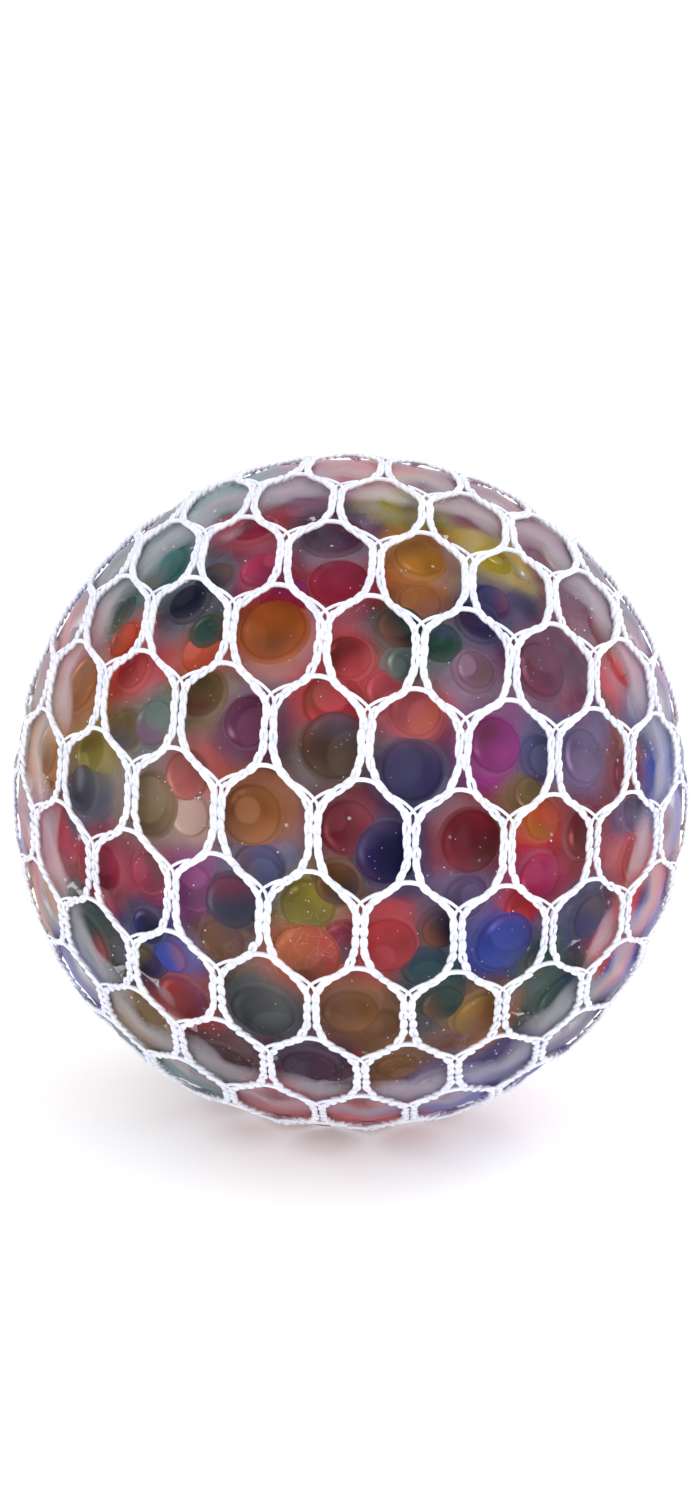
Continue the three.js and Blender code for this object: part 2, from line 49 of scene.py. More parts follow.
# ---------------------------------------------------------------- sizes, as in the part's source
BLADDER_RADIUS = 32.0
SEAT_GAP = 0.3
YARN_THICKNESS = 0.9
COLUMN_PITCH = 9.12
ROW_PITCH = 9.08
NET_BLANK_RADIUS = 78.5
FOOT_DEPTH = 0.5
HOLE_RADIUS = 3.0
BOSS_WALL = 2.6
BOSS_DEPTH = 4.4
PLUG_HEAD_RADIUS = 4.3
PLUG_HEAD_THICKNESS = 1.1
PLUG_SHANK_LENGTH = 3.0
COLLAR_RADIUS = 11.0
COLLAR_BULGE = 0.35
NECK_RADIUS = 2.5
TUFT_RADIUS = 5.5
TUFT_LENGTH = 5.2
PLEAT_DEPTH = 0.5
PLEATS = 14
THREAD_DIAMETER = 0.9
THREAD_SPACING = 0.5
THREAD_TURNS = 3
BEAD_RADIUS = 4.2
SMALL_BEAD_RADIUS = 3.0
BEAD_PITCH = 7.8
BEAD_TO_PATCH = 1.42
MOST_PATCH = 0.8
PACKED_PATCH = 2.4
PACKED_DRIFT = 0.5
PACKED_TURN = 2.4
PACKED_APART = 5.6
SIGHT_DEPTH = 0.34
PATCH_SPREAD = 1.035
BAR_SHARE = 0.72
MIDDLE_COLUMN = -0.3685
MIDDLE_ROW = -0.4189
LEAN = -0.1
FAN = 0.152
WIDEN = 0.094
NET_TURN = math.radians(-4.6)
FAN_FADE_START = math.radians(70)
FAN_FADE_END = math.radians(130)
STRETCH_START = math.radians(75)

CHORD_SAG = (BAR_SHARE * ROW_PITCH) ** 2 / (8 * BLADDER_RADIUS)
NET_INNER = BLADDER_RADIUS + SEAT_GAP + 2 * CHORD_SAG
NET_OUTER = NET_INNER + YARN_THICKNESS
FOOT_HEIGHT = NET_OUTER - FOOT_DEPTH
THREAD_PITCH = THREAD_DIAMETER + THREAD_SPACING
NECK_LENGTH = (THREAD_TURNS + 1) * THREAD_PITCH
NECK_BASE = NET_OUTER + THREAD_DIAMETER
TAIL_END = NECK_BASE + NECK_LENGTH + TUFT_LENGTH
BALL_CENTRE = np.array([0.0, (NET_OUTER - TAIL_END) / 2, FOOT_HEIGHT])
GATHER_ANGLE = math.pi - math.asin(COLLAR_RADIUS / NET_OUTER)
PULL = (GATHER_ANGLE - NET_BLANK_RADIUS / NET_OUTER) / (
    NET_BLANK_RADIUS / NET_OUTER - STRETCH_START
) ** 2

# ---------------------------------------------------------------- the picture's own view
PICTURE_WIDTH = 692
PICTURE_HEIGHT = 1500
BALL_X, BALL_Y = 347.5, 789.0
VIEW_RIGHT = 0.06
VIEW_UP = 0.25
VIEW_DISTANCE = 12 * NET_OUTER
FOCAL_PIXELS = 4007.0
CAMERA_ZOOM = 1.02
CAMERA_RIGHT = 3.2
CAMERA_DOWN = 2.5
PICTURE_ROLL = math.radians(2.53)
SENSOR = 36.0

# ---------------------------------------------------------------- the looks' own sizes
BAR_LENGTH = BAR_SHARE * ROW_PITCH
NET_REACH = math.ceil(NET_BLANK_RADIUS / ROW_PITCH) + 2
NET_FRONT = math.radians(62)
SKIN_INSIDE = 31.7
CONTACT_RADIUS = SKIN_INSIDE - 0.04
RANK_DEPTH = 0.3
FILM_RADIUS = SKIN_INSIDE - 0.5
CORE_RADIUS = 26.2
BULGE = 0.7
BULGE_WIDTH = 2.4
SKIN_SIDES = 240
SKIN_UNDER_NET = 32.55
YARN_RADIUS = 0.215
STITCH_WIDTH = 0.19
STITCH_TILT = 0.15
STITCHES_A_ROW = 9
STITCH_POINTS = 12
MOST_CROWDED = 0.3
LEAST_CROWDED = 1.05
YARN_LAYER = 33.0
INNER_LAYER_RADIUS = 23.0
INNER_A_SHADE = 24
BUBBLES = 1500
BUBBLES_A_SWARM = 9
MILK = "e6e4ee"
WARMTH = np.array([0.01, 0.005, 0.005])


# ================================================================ shapes as arrays
def unit(v):
    """Each vector divided by its own length."""
    return v / np.maximum(np.linalg.norm(v, axis=-1, keepdims=True), 1e-9)


def smooth(x, low, high):
    """0 below low, 1 above high, and 3x2 - 2x3 between."""
    x = np.clip((x - low) / (high - low), 0, 1)
    return x * x * (3 - 2 * x)


def circle(sides, start=0):
    """The angles of that many points round a circle, moved on by a share of a step."""
    return 2 * np.pi * (np.arange(sides) + start) / sides


def direction(angle, clock):
    """The unit vector at an angle from the middle of the net's face and a clock angle round it."""
    angle, clock = np.broadcast_arrays(angle, clock)
    return np.stack(
        [np.sin(angle) * np.cos(clock), -np.cos(angle), np.sin(angle) * np.sin(clock)], -1
    )


def globe(angles, sides):
    """Directions in circles round the back axis, at each angle from the net's face."""
    return direction(angles[:, None], circle(sides)[None, :])


def around(across, along, turn):
    """Points at a distance from the back axis, a place along it and a turn round it."""
    across, along, turn = np.broadcast_arrays(across, along, turn)
    return np.stack([across * np.cos(turn), along, across * np.sin(turn)], -1)


def curve(corners, count):
    """Points of a Catmull-Rom curve through the corners, of which the first and the last one
    only steer it."""
    u = np.linspace(0, len(corners) - 3 - 1e-6, count)
    i = u.astype(int)
    f = (u - i)[:, None]
    a, b, c, d = (corners[i + k] for k in range(4))
    square, cube = 2 * a - 5 * b + 4 * c - d, 3 * b - a - 3 * c + d
    return 0.5 * (2 * b + (c - a) * f + square * f**2 + cube * f**3)


def net_place(x, y):
    """Where a point of the flat net, x across and y up in millimetres, comes to lie on the ball:
    wrapped outwards from its middle, its columns fanned apart, and past the sides pulled on by
    a square law to the gather. Gives the angle from the middle and the clock angle."""
    up = (y - MIDDLE_ROW * ROW_PITCH) / NET_OUTER
    along = (x - MIDDLE_COLUMN * COLUMN_PITCH) / NET_OUTER + LEAN * up
    s = along * math.cos(NET_TURN) - up * math.sin(NET_TURN)
    t = along * math.sin(NET_TURN) + up * math.cos(NET_TURN)
    fade = 1 - smooth(np.hypot(s, t), FAN_FADE_START, FAN_FADE_END)
    across = s * (1 + fade * (FAN * t**2 + WIDEN * s**2))
    flat = np.hypot(across, t)
    angle = flat + PULL * np.maximum(flat - STRETCH_START, 0) ** 2
    return angle, np.arctan2(t, across)


def on_ball(x, y, height):
    """The point over flat-net point x, y at a height from the middle of the ball."""
    return direction(*net_place(x, y)) * np.asarray(height)[..., None]


def crowding(x, y):
    """How much the net is squeezed sideways or along at a flat-net point, 1 where it isn't."""
    step = 0.5
    here = direction(*net_place(x, y))
    right = np.linalg.norm(direction(*net_place(x + step, y)) - here, axis=-1)
    above = np.linalg.norm(direction(*net_place(x, y + step)) - here, axis=-1)
    return np.clip(np.minimum(right, above) * NET_OUTER / step, MOST_CROWDED, LEAST_CROWDED)


def grid_faces(rows, sides, closed=False):
    """Quads over rows of points, each row a circle. A closed grid also joins its last row to its
    first."""
    i = np.arange(rows if closed else rows - 1)[:, None]
    j = np.arange(sides)[None, :]
    i2, j2 = (i + 1) % rows, (j + 1) % sides
    quads = [i * sides + j, i * sides + j2, i2 * sides + j2, i2 * sides + j]
    return np.stack(quads, -1).reshape(-1, 4)


def tube_faces(rows, sides):
    """Quads over a tube of rows of points, and the fans that close it, the first row's on the
    point after them all and the last row's on the next one."""
    k = np.arange(sides)
    after = (k + 1) % sides
    end, pole = (rows - 1) * sides, rows * sides
    first = np.stack([np.full(sides, pole), after, k], -1)
    last = np.stack([np.full(sides, pole + 1), end + k, end + after], -1)
    return grid_faces(rows, sides), np.concatenate([first, last])


def repeated(faces, count, size):
    """The same faces for each of several shapes of that many points."""
    return (faces + np.arange(count)[:, None, None] * size).reshape(-1, faces.shape[1])


def mesh_piece(name, points, quads, triangles=(), attributes=None, colours=None):
    """A closed mesh object from points in millimetres round the ball's middle, quads and
    triangles. Its faces look outward: where their volume, a sixth of the sum of a . (b x c),
    comes out below zero, every face is turned over."""
    points = np.asarray(points, float).reshape(-1, 3) + BALL_CENTRE
    points[:, 2] = np.maximum(points[:, 2], 0.0)
    quads = np.asarray(quads, np.int32).reshape(-1, 4)
    triangles = np.asarray(triangles, np.int32).reshape(-1, 3)
    a, b, c = points[np.concatenate([quads[:, :3], quads[:, [0, 2, 3]], triangles])].swapaxes(0, 1)
    if np.sum(a * np.cross(b, c)) < 0:
        quads, triangles = quads[:, ::-1], triangles[:, ::-1]
    loops = np.concatenate([quads.ravel(), triangles.ravel()])
    starts = np.concatenate(
        [np.arange(len(quads)) * 4, len(quads) * 4 + np.arange(len(triangles)) * 3]
    )
    mesh = bpy.data.meshes.new(name)
    mesh.vertices.add(len(points))
    mesh.vertices.foreach_set("co", (points * METRE).astype(np.float32).ravel())
    mesh.loops.add(len(loops))
    mesh.loops.foreach_set("vertex_index", loops.astype(np.int32))
    mesh.polygons.add(len(starts))
    mesh.polygons.foreach_set("loop_start", starts.astype(np.int32))
    mesh.update(calc_edges=True)
    mesh.validate()
    mesh.shade_smooth()
    for key, values in (attributes or {}).items():
        layer = mesh.attributes.new(key, "FLOAT", "POINT")
        layer.data.foreach_set("value", np.asarray(values, np.float32).ravel())
    for key, values in (colours or {}).items():
        layer = mesh.attributes.new(key, "FLOAT_COLOR", "POINT")
        with_alpha = np.concatenate([values, np.ones((len(values), 1))], 1)
        layer.data.foreach_set("color", with_alpha.astype(np.float32).ravel())
    piece = bpy.data.objects.new(name, mesh)
    bpy.context.scene.collection.objects.link(piece)
    return piece


def rings(paths, tangent, radius, sides):
    """Circles of points across n paths of m points: n x m x sides x 3. The first side of each
    looks away from the ball."""
    side = unit(np.cross(tangent, unit(paths)))
    normal = np.cross(side, tangent)
    turn = circle(sides)[:, None]
    radius = np.broadcast_to(radius, paths.shape[:2])[..., None, None]
    ring = np.cos(turn) * normal[..., None, :] + np.sin(turn) * side[..., None, :]
    return paths[..., None, :] + radius * ring


def ring_tubes(paths, radius, sides):
    """Closed loops of yarn of the given radius along n paths of m points."""
    n, m = paths.shape[:2]
    tangent = unit(np.roll(paths, -1, 1) - np.roll(paths, 1, 1))
    points = rings(paths, tangent, radius, sides).reshape(-1, 3)
    return points, repeated(grid_faces(m, sides, closed=True), n, m * sides)


def open_tubes(paths, radius, sides):
    """Threads with two ends along n paths of m points, each closed on its path's end points."""
    n, m = paths.shape[:2]
    body = rings(paths, unit(np.gradient(paths, axis=1)), radius, sides).reshape(n, -1, 3)
    points = np.concatenate([body, paths[:, :1], paths[:, -1:]], 1)
    quads, fans = (repeated(faces, n, points.shape[1]) for faces in tube_faces(m, sides))
    return points.reshape(-1, 3), quads, fans


def wavy_ball(radius, height, waves, shifts, rows, sides, gap):
    """A closed ball whose radius waves by height sin(ax + s) sin(by + t) sin(cz), with rows of
    points from one gap in angle round its front pole to another round its back pole."""
    (a, b, c), (s, t) = waves, shifts
    way = globe(np.linspace(gap, math.pi - gap, rows), sides).reshape(-1, 3)
    x, y, z = way.T
    wave = height * np.sin(a * x + s) * np.sin(c * z) * np.sin(b * y + t)
    body = way * (radius + wave)[:, None]
    return np.concatenate([body, [[0, -radius, 0], [0, radius, 0]]]), *tube_faces(rows, sides)


# ================================================================ materials
def linear(hex_colour):
    """An sRGB colour written as six hex digits, as linear red, green and blue."""
    s = np.array([int(hex_colour[i : i + 2], 16) for i in (0, 2, 4)]) / 255
    return np.where(s <= 0.04045, s / 12.92, ((s + 0.055) / 1.055) ** 2.4)


def rgba(colour):
    """A full colour from six hex digits, or from linear red, green and blue."""
    return (*[float(c) for c in (linear(colour) if isinstance(colour, str) else colour)], 1.0)


class Nodes:
    """A material's node tree, with one short call for each kind of node that is used here."""

    def __init__(self, name):
        self.material = bpy.data.materials.new(name)
        self.material.use_nodes = True
        self.tree = self.material.node_tree
        self.tree.nodes.clear()
        self.place = self.node("ShaderNodeTexCoord").outputs["Object"]

    def node(self, kind, inputs=None, **settings):
        """A node with its settings, and its inputs linked or given their values."""
        node = self.tree.nodes.new(kind)
        for key, value in settings.items():
            setattr(node, key, value)
        for key, value in (inputs or {}).items():
            if isinstance(value, bpy.types.NodeSocket):
                self.tree.links.new(value, node.inputs[key])
            elif value is not None:
                node.inputs[key].default_value = value
        return node

    def noise(self, scale, detail=2.0, roughness=0.5, seed=0.0):
        inputs = {"Vector": self.place, "W": seed, "Scale": scale}
        inputs |= {"Detail": detail, "Roughness": roughness}
        return self.node("ShaderNodeTexNoise", inputs, noise_dimensions="4D").outputs["Fac"]

    def cells(self, scale, vector=None, feature="F1"):
        inputs = {"Vector": vector or self.place, "Scale": scale}
        return self.node("ShaderNodeTexVoronoi", inputs, feature=feature).outputs["Distance"]

    def span(self, value, low, high, to_low=0.0, to_high=1.0):
        inputs = {"Value": value, "From Min": low, "From Max": high}
        inputs |= {"To Min": to_low, "To Max": to_high}
        return self.node("ShaderNodeMapRange", inputs).outputs["Result"]

    def add(self, a, b):
        return self.node("ShaderNodeMath", {0: a, 1: b}, operation="ADD").outputs[0]

    def times(self, a, b):
        return self.node("ShaderNodeMath", {0: a, 1: b}, operation="MULTIPLY").outputs[0]

    def mix(self, factor, a, b, blend="MIX"):
        inputs = {"Factor": factor, 6: a, 7: b}
        return self.node("ShaderNodeMix", inputs, data_type="RGBA", blend_type=blend).outputs[2]

    def attribute(self, name, output="Fac"):
        return self.node("ShaderNodeAttribute", attribute_name=name).outputs[output]

    def axis(self, name):
        return self.node("ShaderNodeSeparateXYZ", {0: self.place}).outputs[name]

    def bump(self, height, strength, distance):
        inputs = {"Height": height, "Strength": strength, "Distance": distance}
        return self.node("ShaderNodeBump", inputs).outputs["Normal"]

    def stretched(self, scale, turn):
        inputs = {"Vector": self.place, "Scale": scale, "Rotation": turn}
        return self.node("ShaderNodeMapping", inputs).outputs["Vector"]

    def principled(self, colour, roughness, normal=None, **sockets):
        inputs = {"Base Color": colour, "Roughness": roughness, "Normal": normal}
        inputs |= {key.replace("_", " "): value for key, value in sockets.items()}
        return self.node("ShaderNodeBsdfPrincipled", inputs).outputs[0]

    def mixed(self, factor, a, b):
        return self.node("ShaderNodeMixShader", {0: factor, 1: a, 2: b}).outputs[0]

    def over_clear(self, cover, shader):
        """A shader that hides what is behind it by a share, and is clear for the rest."""
        return self.mixed(cover, self.node("ShaderNodeBsdfTransparent").outputs[0], shader)

    def finish(self, shader):
        self.node("ShaderNodeOutputMaterial", {"Surface": shader})
        return self.material


def yarn_material(name, white, shade):
    """Bright white knitted yarn, slightly cool: matt with a soft sheen, finely fibrous, and with a
    faint painted glow, an emission that lifts its shaded sides.
    """
    n = Nodes(name)
    fibre = n.noise(2600, 3.0, 0.65)
    soft = n.span(n.noise(420, seed=3.0), 0.35, 0.65)
    tone = n.mix(soft, rgba(white), rgba(linear(white) * 0.6 + linear(shade) * 0.4))
    colour = n.mix(n.span(fibre, 0.3, 0.5, 1.0, 0.0), tone, rgba(shade))
    sheen = {"Sheen_Weight": 0.25, "Sheen_Roughness": 0.4, "Specular_IOR_Level": 0.3}
    # painted glow: a faint white emission, though the yarn is no lamp, lifts its shaded sides
    glow = {"Emission_Color": (0.9, 0.92, 1.0, 1.0), "Emission_Strength": 0.05}
    return n.finish(n.principled(colour, 0.72, n.bump(fibre, 0.45, 0.00012), **sheen, **glow))


def skin_material(name):
    """Clear elastomer: mostly see-through, with pale specks and fine scratches, milky and with a
    soft gloss towards its edges. Its milky edge is paler and its gloss stronger towards the top, a
    painted light from above.
    The veil over its middle is in the looks of gel and water."""
    n = Nodes(name)
    chosen = n.span(n.noise(150, 1.0, seed=2.0), 0.56, 0.6)
    speck = n.times(n.span(n.cells(520), 0.0, 0.12, 0.6, 0.0), chosen)
    streak = n.cells(1.0, n.stretched((900, 60, 900), (0.5, 0.3, 0.9)), "DISTANCE_TO_EDGE")
    worn = n.span(n.noise(70, 1.0, seed=5.0), 0.6, 0.66)
    streak = n.times(n.span(streak, 0.0, 0.02, 0.12, 0.0), worn)
    normal = n.bump(n.noise(260, seed=1.0), 0.25, 0.0004)
    facing = n.node("ShaderNodeLayerWeight").outputs["Facing"]
    rim = n.span(facing, 0.52, 0.78, 0.0, 0.94)
    # painted light: the milk at the edge is paler and the gloss stronger towards the top, both
    # weaker towards the bottom
    painted_top_light = n.span(n.axis("Z"), 0.005, 0.06, 0.2, 1.0)
    deep = n.mix(1.0, n.attribute("glow", "Color"), (0.7, 0.7, 0.72, 1.0), "MULTIPLY")
    thick = n.mix(n.times(painted_top_light, 0.22), deep, rgba("bfbccb"))
    milky = n.principled(n.mix(rim, rgba(MILK), thick), 0.45, normal, Specular_IOR_Level=0.1)
    cover = {0: n.add(speck, streak), 1: rim}
    cover = n.node("ShaderNodeMath", cover, operation="MAXIMUM").outputs[0]
    gloss = {"Color": (1.0, 1.0, 1.0, 1.0), "Roughness": 0.1, "Normal": normal}
    gloss = n.node("ShaderNodeBsdfGlossy", gloss).outputs[0]
    edge = n.node("ShaderNodeMath", {0: facing, 1: 5.0}, operation="POWER").outputs[0]
    edge = n.times(n.times(edge, painted_top_light), 0.22)
    return n.finish(n.mixed(edge, n.over_clear(cover, milky), gloss))


def skin_inside_material(name):
    """The skin's wet inner face: clear, and cloudy round the stopper's seat at the back."""
    n = Nodes(name)
    cloud = n.times(n.span(n.axis("Y"), 0.015, 0.02), n.span(n.noise(120), 0.3, 0.7, 0.2, 0.5))
    wet = n.principled(rgba("e2e0ea"), 0.3, Specular_IOR_Level=0.2)
    return n.finish(n.over_clear(cloud, wet))


def veiled(n, colour):
    """A colour under the breath of milk that drifts over the skin in two sizes of cloud."""
    cloud = n.span(n.noise(95, 3.0, 0.55), 0.5, 0.78, 0.0, 0.06)
    bloom = n.span(n.noise(34, seed=7.0), 0.5, 0.8, 0.0, 0.06)
    return n.mix(n.add(cloud, bloom), colour, rgba(MILK))


def film_material(name):
    """The water and thin gel between the beads: a hazy mix of the colours of the beads round it,
    lightened as a painted glow that lifts the shade between the beads, with a breath of lilac grey
    that is paler towards the top, a painted light from above."""
    n = Nodes(name)
    # painted light: the lilac haze is paler towards the top
    painted_top_light = n.span(n.axis("Z"), 0.01, 0.06, 0.25, 1.0)
    pale = n.times(n.span(n.noise(150), 0.4, 0.66, 0.0, 0.5), painted_top_light)
    haze = n.mix(pale, n.attribute("glow", "Color"), rgba("b2aec2"))
    cover = n.span(n.noise(210, seed=4.0), 0.35, 0.65, 0.36, 0.66)
    body = n.principled(veiled(n, haze), 0.5, Specular_IOR_Level=0.08)
    return n.finish(n.over_clear(cover, body))


def gel_material(name, base, seed):
    """See-through coloured gel: dark and saturated, with a deeper shade drifting through it,
    the pale outline of what lies behind it, a bright crescent painted as a highlight, a pale
    painted ring of light round its patch and a painted shade along its patch's edge. The deeper
    under the skin, the more it fades into the colours round it."""
    n = Nodes(name)
    colour = linear(base)
    deep = rgba(colour * 0.45)
    painted_glint_colour = rgba(np.clip(colour * 3.2 + 0.12, 0, 1))
    warm = np.clip(colour * 1.25 + float(colour.mean()) * 0.3 + WARMTH, 0, 1)
    painted_halo_colour = rgba(np.clip(colour * 1.2 + 0.08, 0, 1))
    drift = n.span(n.noise(150, seed=seed), 0.36, 0.66)
    # painted highlight: a bright crescent near the patch's rim, in a livelier, paler copy of the
    # gel's colour
    glint = n.times(n.attribute("glint"), n.span(n.noise(700, 1.0), 0.3, 0.6))
    inner = n.mix(drift, rgba(colour * 1.15), deep)
    inner = n.mix(n.times(n.attribute("ghost"), 0.7), inner, rgba(warm))
    inner = n.mix(n.attribute("blend"), inner, n.attribute("behind", "Color"))
    # painted shade: the patch's last ring is darkened where the bead curves away from the skin
    inner = n.mix(n.times(n.attribute("edge"), 0.5), inner, deep)
    inner = n.mix(glint, inner, painted_glint_colour)
    # painted light: a pale ring round the patch
    inner = n.mix(n.times(n.attribute("halo"), 0.65), inner, painted_halo_colour)
    inner = n.mix(n.attribute("sunk"), inner, n.attribute("glow", "Color"))
    return n.finish(n.principled(veiled(n, inner), 0.3, Specular_IOR_Level=0.08, IOR=1.34))


def rubber_material(name):
    """Plain translucent grey-white stopper rubber, a little dusty."""
    n = Nodes(name)
    dust = n.noise(900, 3.0, 0.6)
    colour = n.mix(n.span(dust, 0.35, 0.65), rgba("d9d6de"), rgba("bfbcc8"))
    return n.finish(n.principled(colour, 0.5, n.bump(dust, 0.2, 0.0002), Specular_IOR_Level=0.35))


def bubble_material(name):
    """A tiny bubble of air: a white spark."""
    n = Nodes(name)
    tone = n.mix(n.noise(800), rgba("ffffff"), rgba("dcdcec"))
    return n.finish(n.over_clear(0.8, n.principled(tone, 0.3, Specular_IOR_Level=0.5)))


def dressed(piece, material, slot, *nodes):
    """Gives a piece its material and its body, and hides the nodes that it stands for. The slot is
    not used.
    """
    piece.data.materials.clear()
    piece.data.materials.append(material)
    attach(piece, "root")
    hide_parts(*nodes)
    return piece


# ================================================================ the net
# One side of a bar and the limb that leaves it, right-hand thread going right, from the bar's
# middle: the thread comes in wide round the eyelet, runs beside its twin, and leaves in a V
CHAIN_CORNERS = [
    (1.14, -BAR_LENGTH / 2),
    (0.88, -BAR_LENGTH / 2 + 0.68),
    (0.6, -BAR_LENGTH / 2 + 1.35),
    (0.43, -BAR_LENGTH / 2 + 2.1),
    (0.4, 0.4),
    (0.4, BAR_LENGTH / 2 - 1.1),
    (0.58, BAR_LENGTH / 2 - 0.35),
    (0.95, BAR_LENGTH / 2 + 0.25),
    (1.50, BAR_LENGTH / 2 + 0.82),
    (2.30, BAR_LENGTH / 2 + 1.50),
    (3.00, BAR_LENGTH / 2 + 2.05),
    (COLUMN_PITCH / 2 - 1.12, ROW_PITCH - BAR_LENGTH / 2),
]
# The fine threads round a bar's ends: across from its middle and up from its end
UNDER_THREAD = [(-1.75, -0.62), (-1.25, -0.18), (-0.6, 0.08), (0, 0.14)]
UNDER_THREAD += [(-x, y) for x, y in UNDER_THREAD[2::-1]]
CROSS_THREAD = [
    (-1.95, 1.5),
    (-1.3, 1.24),
    (-0.75, 0.92),
    (-0.2, 0.5),
    (0.25, 0),
    (0.42, -0.6),
    (0.34, -1.1),
]


def chain_template():
    """The corners joined by a curve and measured along it, so that a stitch can be set at any
    share of its length: its points, their lengths from the start, and the whole length."""
    p = np.array(CHAIN_CORNERS)
    after = np.array([COLUMN_PITCH / 2, 0]) + p[1] * [-1, 1] + [0, ROW_PITCH]
    before = np.array([COLUMN_PITCH / 2 - p[-2][0], p[-2][1] - ROW_PITCH])
    line = curve(np.concatenate([[before], p, [after]]), 400)
    run = np.concatenate([[0], np.cumsum(np.linalg.norm(np.diff(line, axis=0), axis=1))])
    return line, run, run[-1]


CHAIN_LINE, CHAIN_RUN, CHAIN_LENGTH = chain_template()


def chain_point(wale, run):
    """The flat-net point at a length run along one wale, which zigzags between the bars of its
    two columns: in every other row it is mirrored."""
    row = np.floor(run / CHAIN_LENGTH)
    left = (wale + row) % 2 == 1
    bar = np.where(left, wale, wale + 1)
    side = np.where(left, 1.0, -1.0)
    local = run - row * CHAIN_LENGTH
    dx = np.interp(local, CHAIN_RUN, CHAIN_LINE[:, 0])
    dy = np.interp(local, CHAIN_RUN, CHAIN_LINE[:, 1])
    return bar * COLUMN_PITCH / 2 + side * dx, row * ROW_PITCH + dy


def net_stitches():
    """Every stitch of every wale as one long closed loop of yarn, pointed where it starts under
    the loop before it and round where it ends over the next. Gives their paths, n x m x 3, the
    yarn's radius on each, and the angle and clock angle of each one's middle on the ball."""
    wales = np.arange(-2 * NET_REACH, 2 * NET_REACH).astype(float)
    stitches = np.arange(-NET_REACH * STITCHES_A_ROW, NET_REACH * STITCHES_A_ROW)
    wales, stitches = (grid.ravel() for grid in np.meshgrid(wales, stitches, indexing="ij"))
    length = CHAIN_LENGTH / STITCHES_A_ROW
    middle = (stitches + 0.5) * length
    x, y = chain_point(wales, middle)
    angle, clock = net_place(x, y)
    inside = angle < GATHER_ANGLE + 0.02
    wales, middle, x, y, angle, clock = (v[inside] for v in (wales, middle, x, y, angle, clock))
    squeeze = crowding(x, y)
    loose = np.random.default_rng(3).normal(0, 1, (4, len(middle), 1))
    turn = circle(STITCH_POINTS, 0.5)
    along = -0.62 * length * np.cos(turn) * (1 + 0.1 * loose[0])
    across = STITCH_WIDTH * np.sin(turn) * (1 - 0.22 * np.cos(turn)) * (1 + 0.14 * loose[1])
    across = across + 0.045 * loose[2]
    run, wale, step = middle[:, None] + along, wales[:, None], 0.08
    px, py = chain_point(wale, run)
    nx, ny = chain_point(wale, run + step)
    bx, by = chain_point(wale, run - step)
    tx, ty = nx - bx, ny - by
    long = np.maximum(np.hypot(tx, ty), 1e-9)
    px, py = px - ty / long * across, py + tx / long * across
    lift = -STITCH_TILT * np.cos(turn) * squeeze[:, None] * (1 + 0.3 * loose[3])
    paths = on_ball(px, py, YARN_LAYER + lift)
    return paths, YARN_RADIUS * squeeze[:, None], angle, clock


def net_threads():
    """The fine threads at each bar's ends: one bowed under the eyelet, and two that cross in the
    V above the bar and run down between its chains."""
    half = np.arange(-2 * NET_REACH, 2 * NET_REACH + 1)
    half, row = np.meshgrid(half, np.arange(-NET_REACH, NET_REACH + 1), indexing="ij")
    bar = (half + row) % 2 == 1
    bx, by = half[bar] * COLUMN_PITCH / 2, row[bar] * ROW_PITCH
    inside = net_place(bx, by)[0] < GATHER_ANGLE - 0.05
    bx, by = bx[inside, None], by[inside, None]
    threads = (
        (1, UNDER_THREAD, -BAR_LENGTH / 2, 0.05, 0.24),
        (1, CROSS_THREAD, BAR_LENGTH / 2, 0.2, 0.16),
        (-1, CROSS_THREAD, BAR_LENGTH / 2, 0.08, 0.16),
    )
    points, quads, fans, count = [], [], [], 0
    for side, shape, end, lift, thick in threads:
        s = np.array(shape)
        x, y = bx + side * s[:, 0], by + (end + s[:, 1])
        squeeze = crowding(x, y)
        paths = on_ball(x, y, YARN_LAYER + lift * squeeze)
        p, q, f = open_tubes(paths, thick * squeeze, 6)
        points, quads, fans = [*points, p], [*quads, q + count], [*fans, f + count]
        count += len(p)
    return np.concatenate(points), np.concatenate(quads), np.concatenate(fans)


def net_lines():
    """Points all along the net's chains, as directions, for the skin to bulge between."""
    wales = np.arange(-2 * NET_REACH, 2 * NET_REACH)
    run = np.arange(-NET_REACH * CHAIN_LENGTH, NET_REACH * CHAIN_LENGTH, 0.7)
    wales, run = np.meshgrid(wales, run, indexing="ij")
    angle, clock = net_place(*chain_point(wales.ravel(), run.ravel()))
    return direction(angle, clock)[angle < GATHER_ANGLE]


# ================================================================ the gathered end
def gather_profile():
    """The gathered cloth's outside from the rim of its cap to the end of the tuft, as
    (across, along the back axis, pleat depth), in fine steps of a curve."""

    def on(across, ball):
        return math.sqrt(ball**2 - across**2)

    outer = NET_OUTER + COLLAR_BULGE
    half = (COLLAR_RADIUS + NECK_RADIUS) / 2
    neck_end = NECK_BASE + NECK_LENGTH
    corners = np.array(
        [
            (COLLAR_RADIUS - 0.1, on(COLLAR_RADIUS, NET_INNER) - 0.1, 0.25),
            (COLLAR_RADIUS, on(COLLAR_RADIUS, outer) - 0.25, 0.3),
            (9.2, on(9.2, outer) + 0.1, 0.42),
            (half, on(half, outer) + 0.45, 0.5),
            (4.6, on(4.6, outer) + 0.75, 0.5),
            (3.2, NECK_BASE + 0.1, 0.42),
            (NECK_RADIUS, NECK_BASE + 0.9, 0.3),
            (NECK_RADIUS, neck_end - 0.9, 0.3),
            (3.0, neck_end + 0.3, 0.45),
            (TUFT_RADIUS * 0.8, neck_end + TUFT_LENGTH * 0.45, 0.75),
            (TUFT_RADIUS * 0.97, TAIL_END - 0.5, 0.8),
        ]
    )
    ends = [2 * corners[0] - corners[1]], [2 * corners[-1] - corners[-2]]
    return curve(np.concatenate([ends[0], corners, ends[1]]), 90)


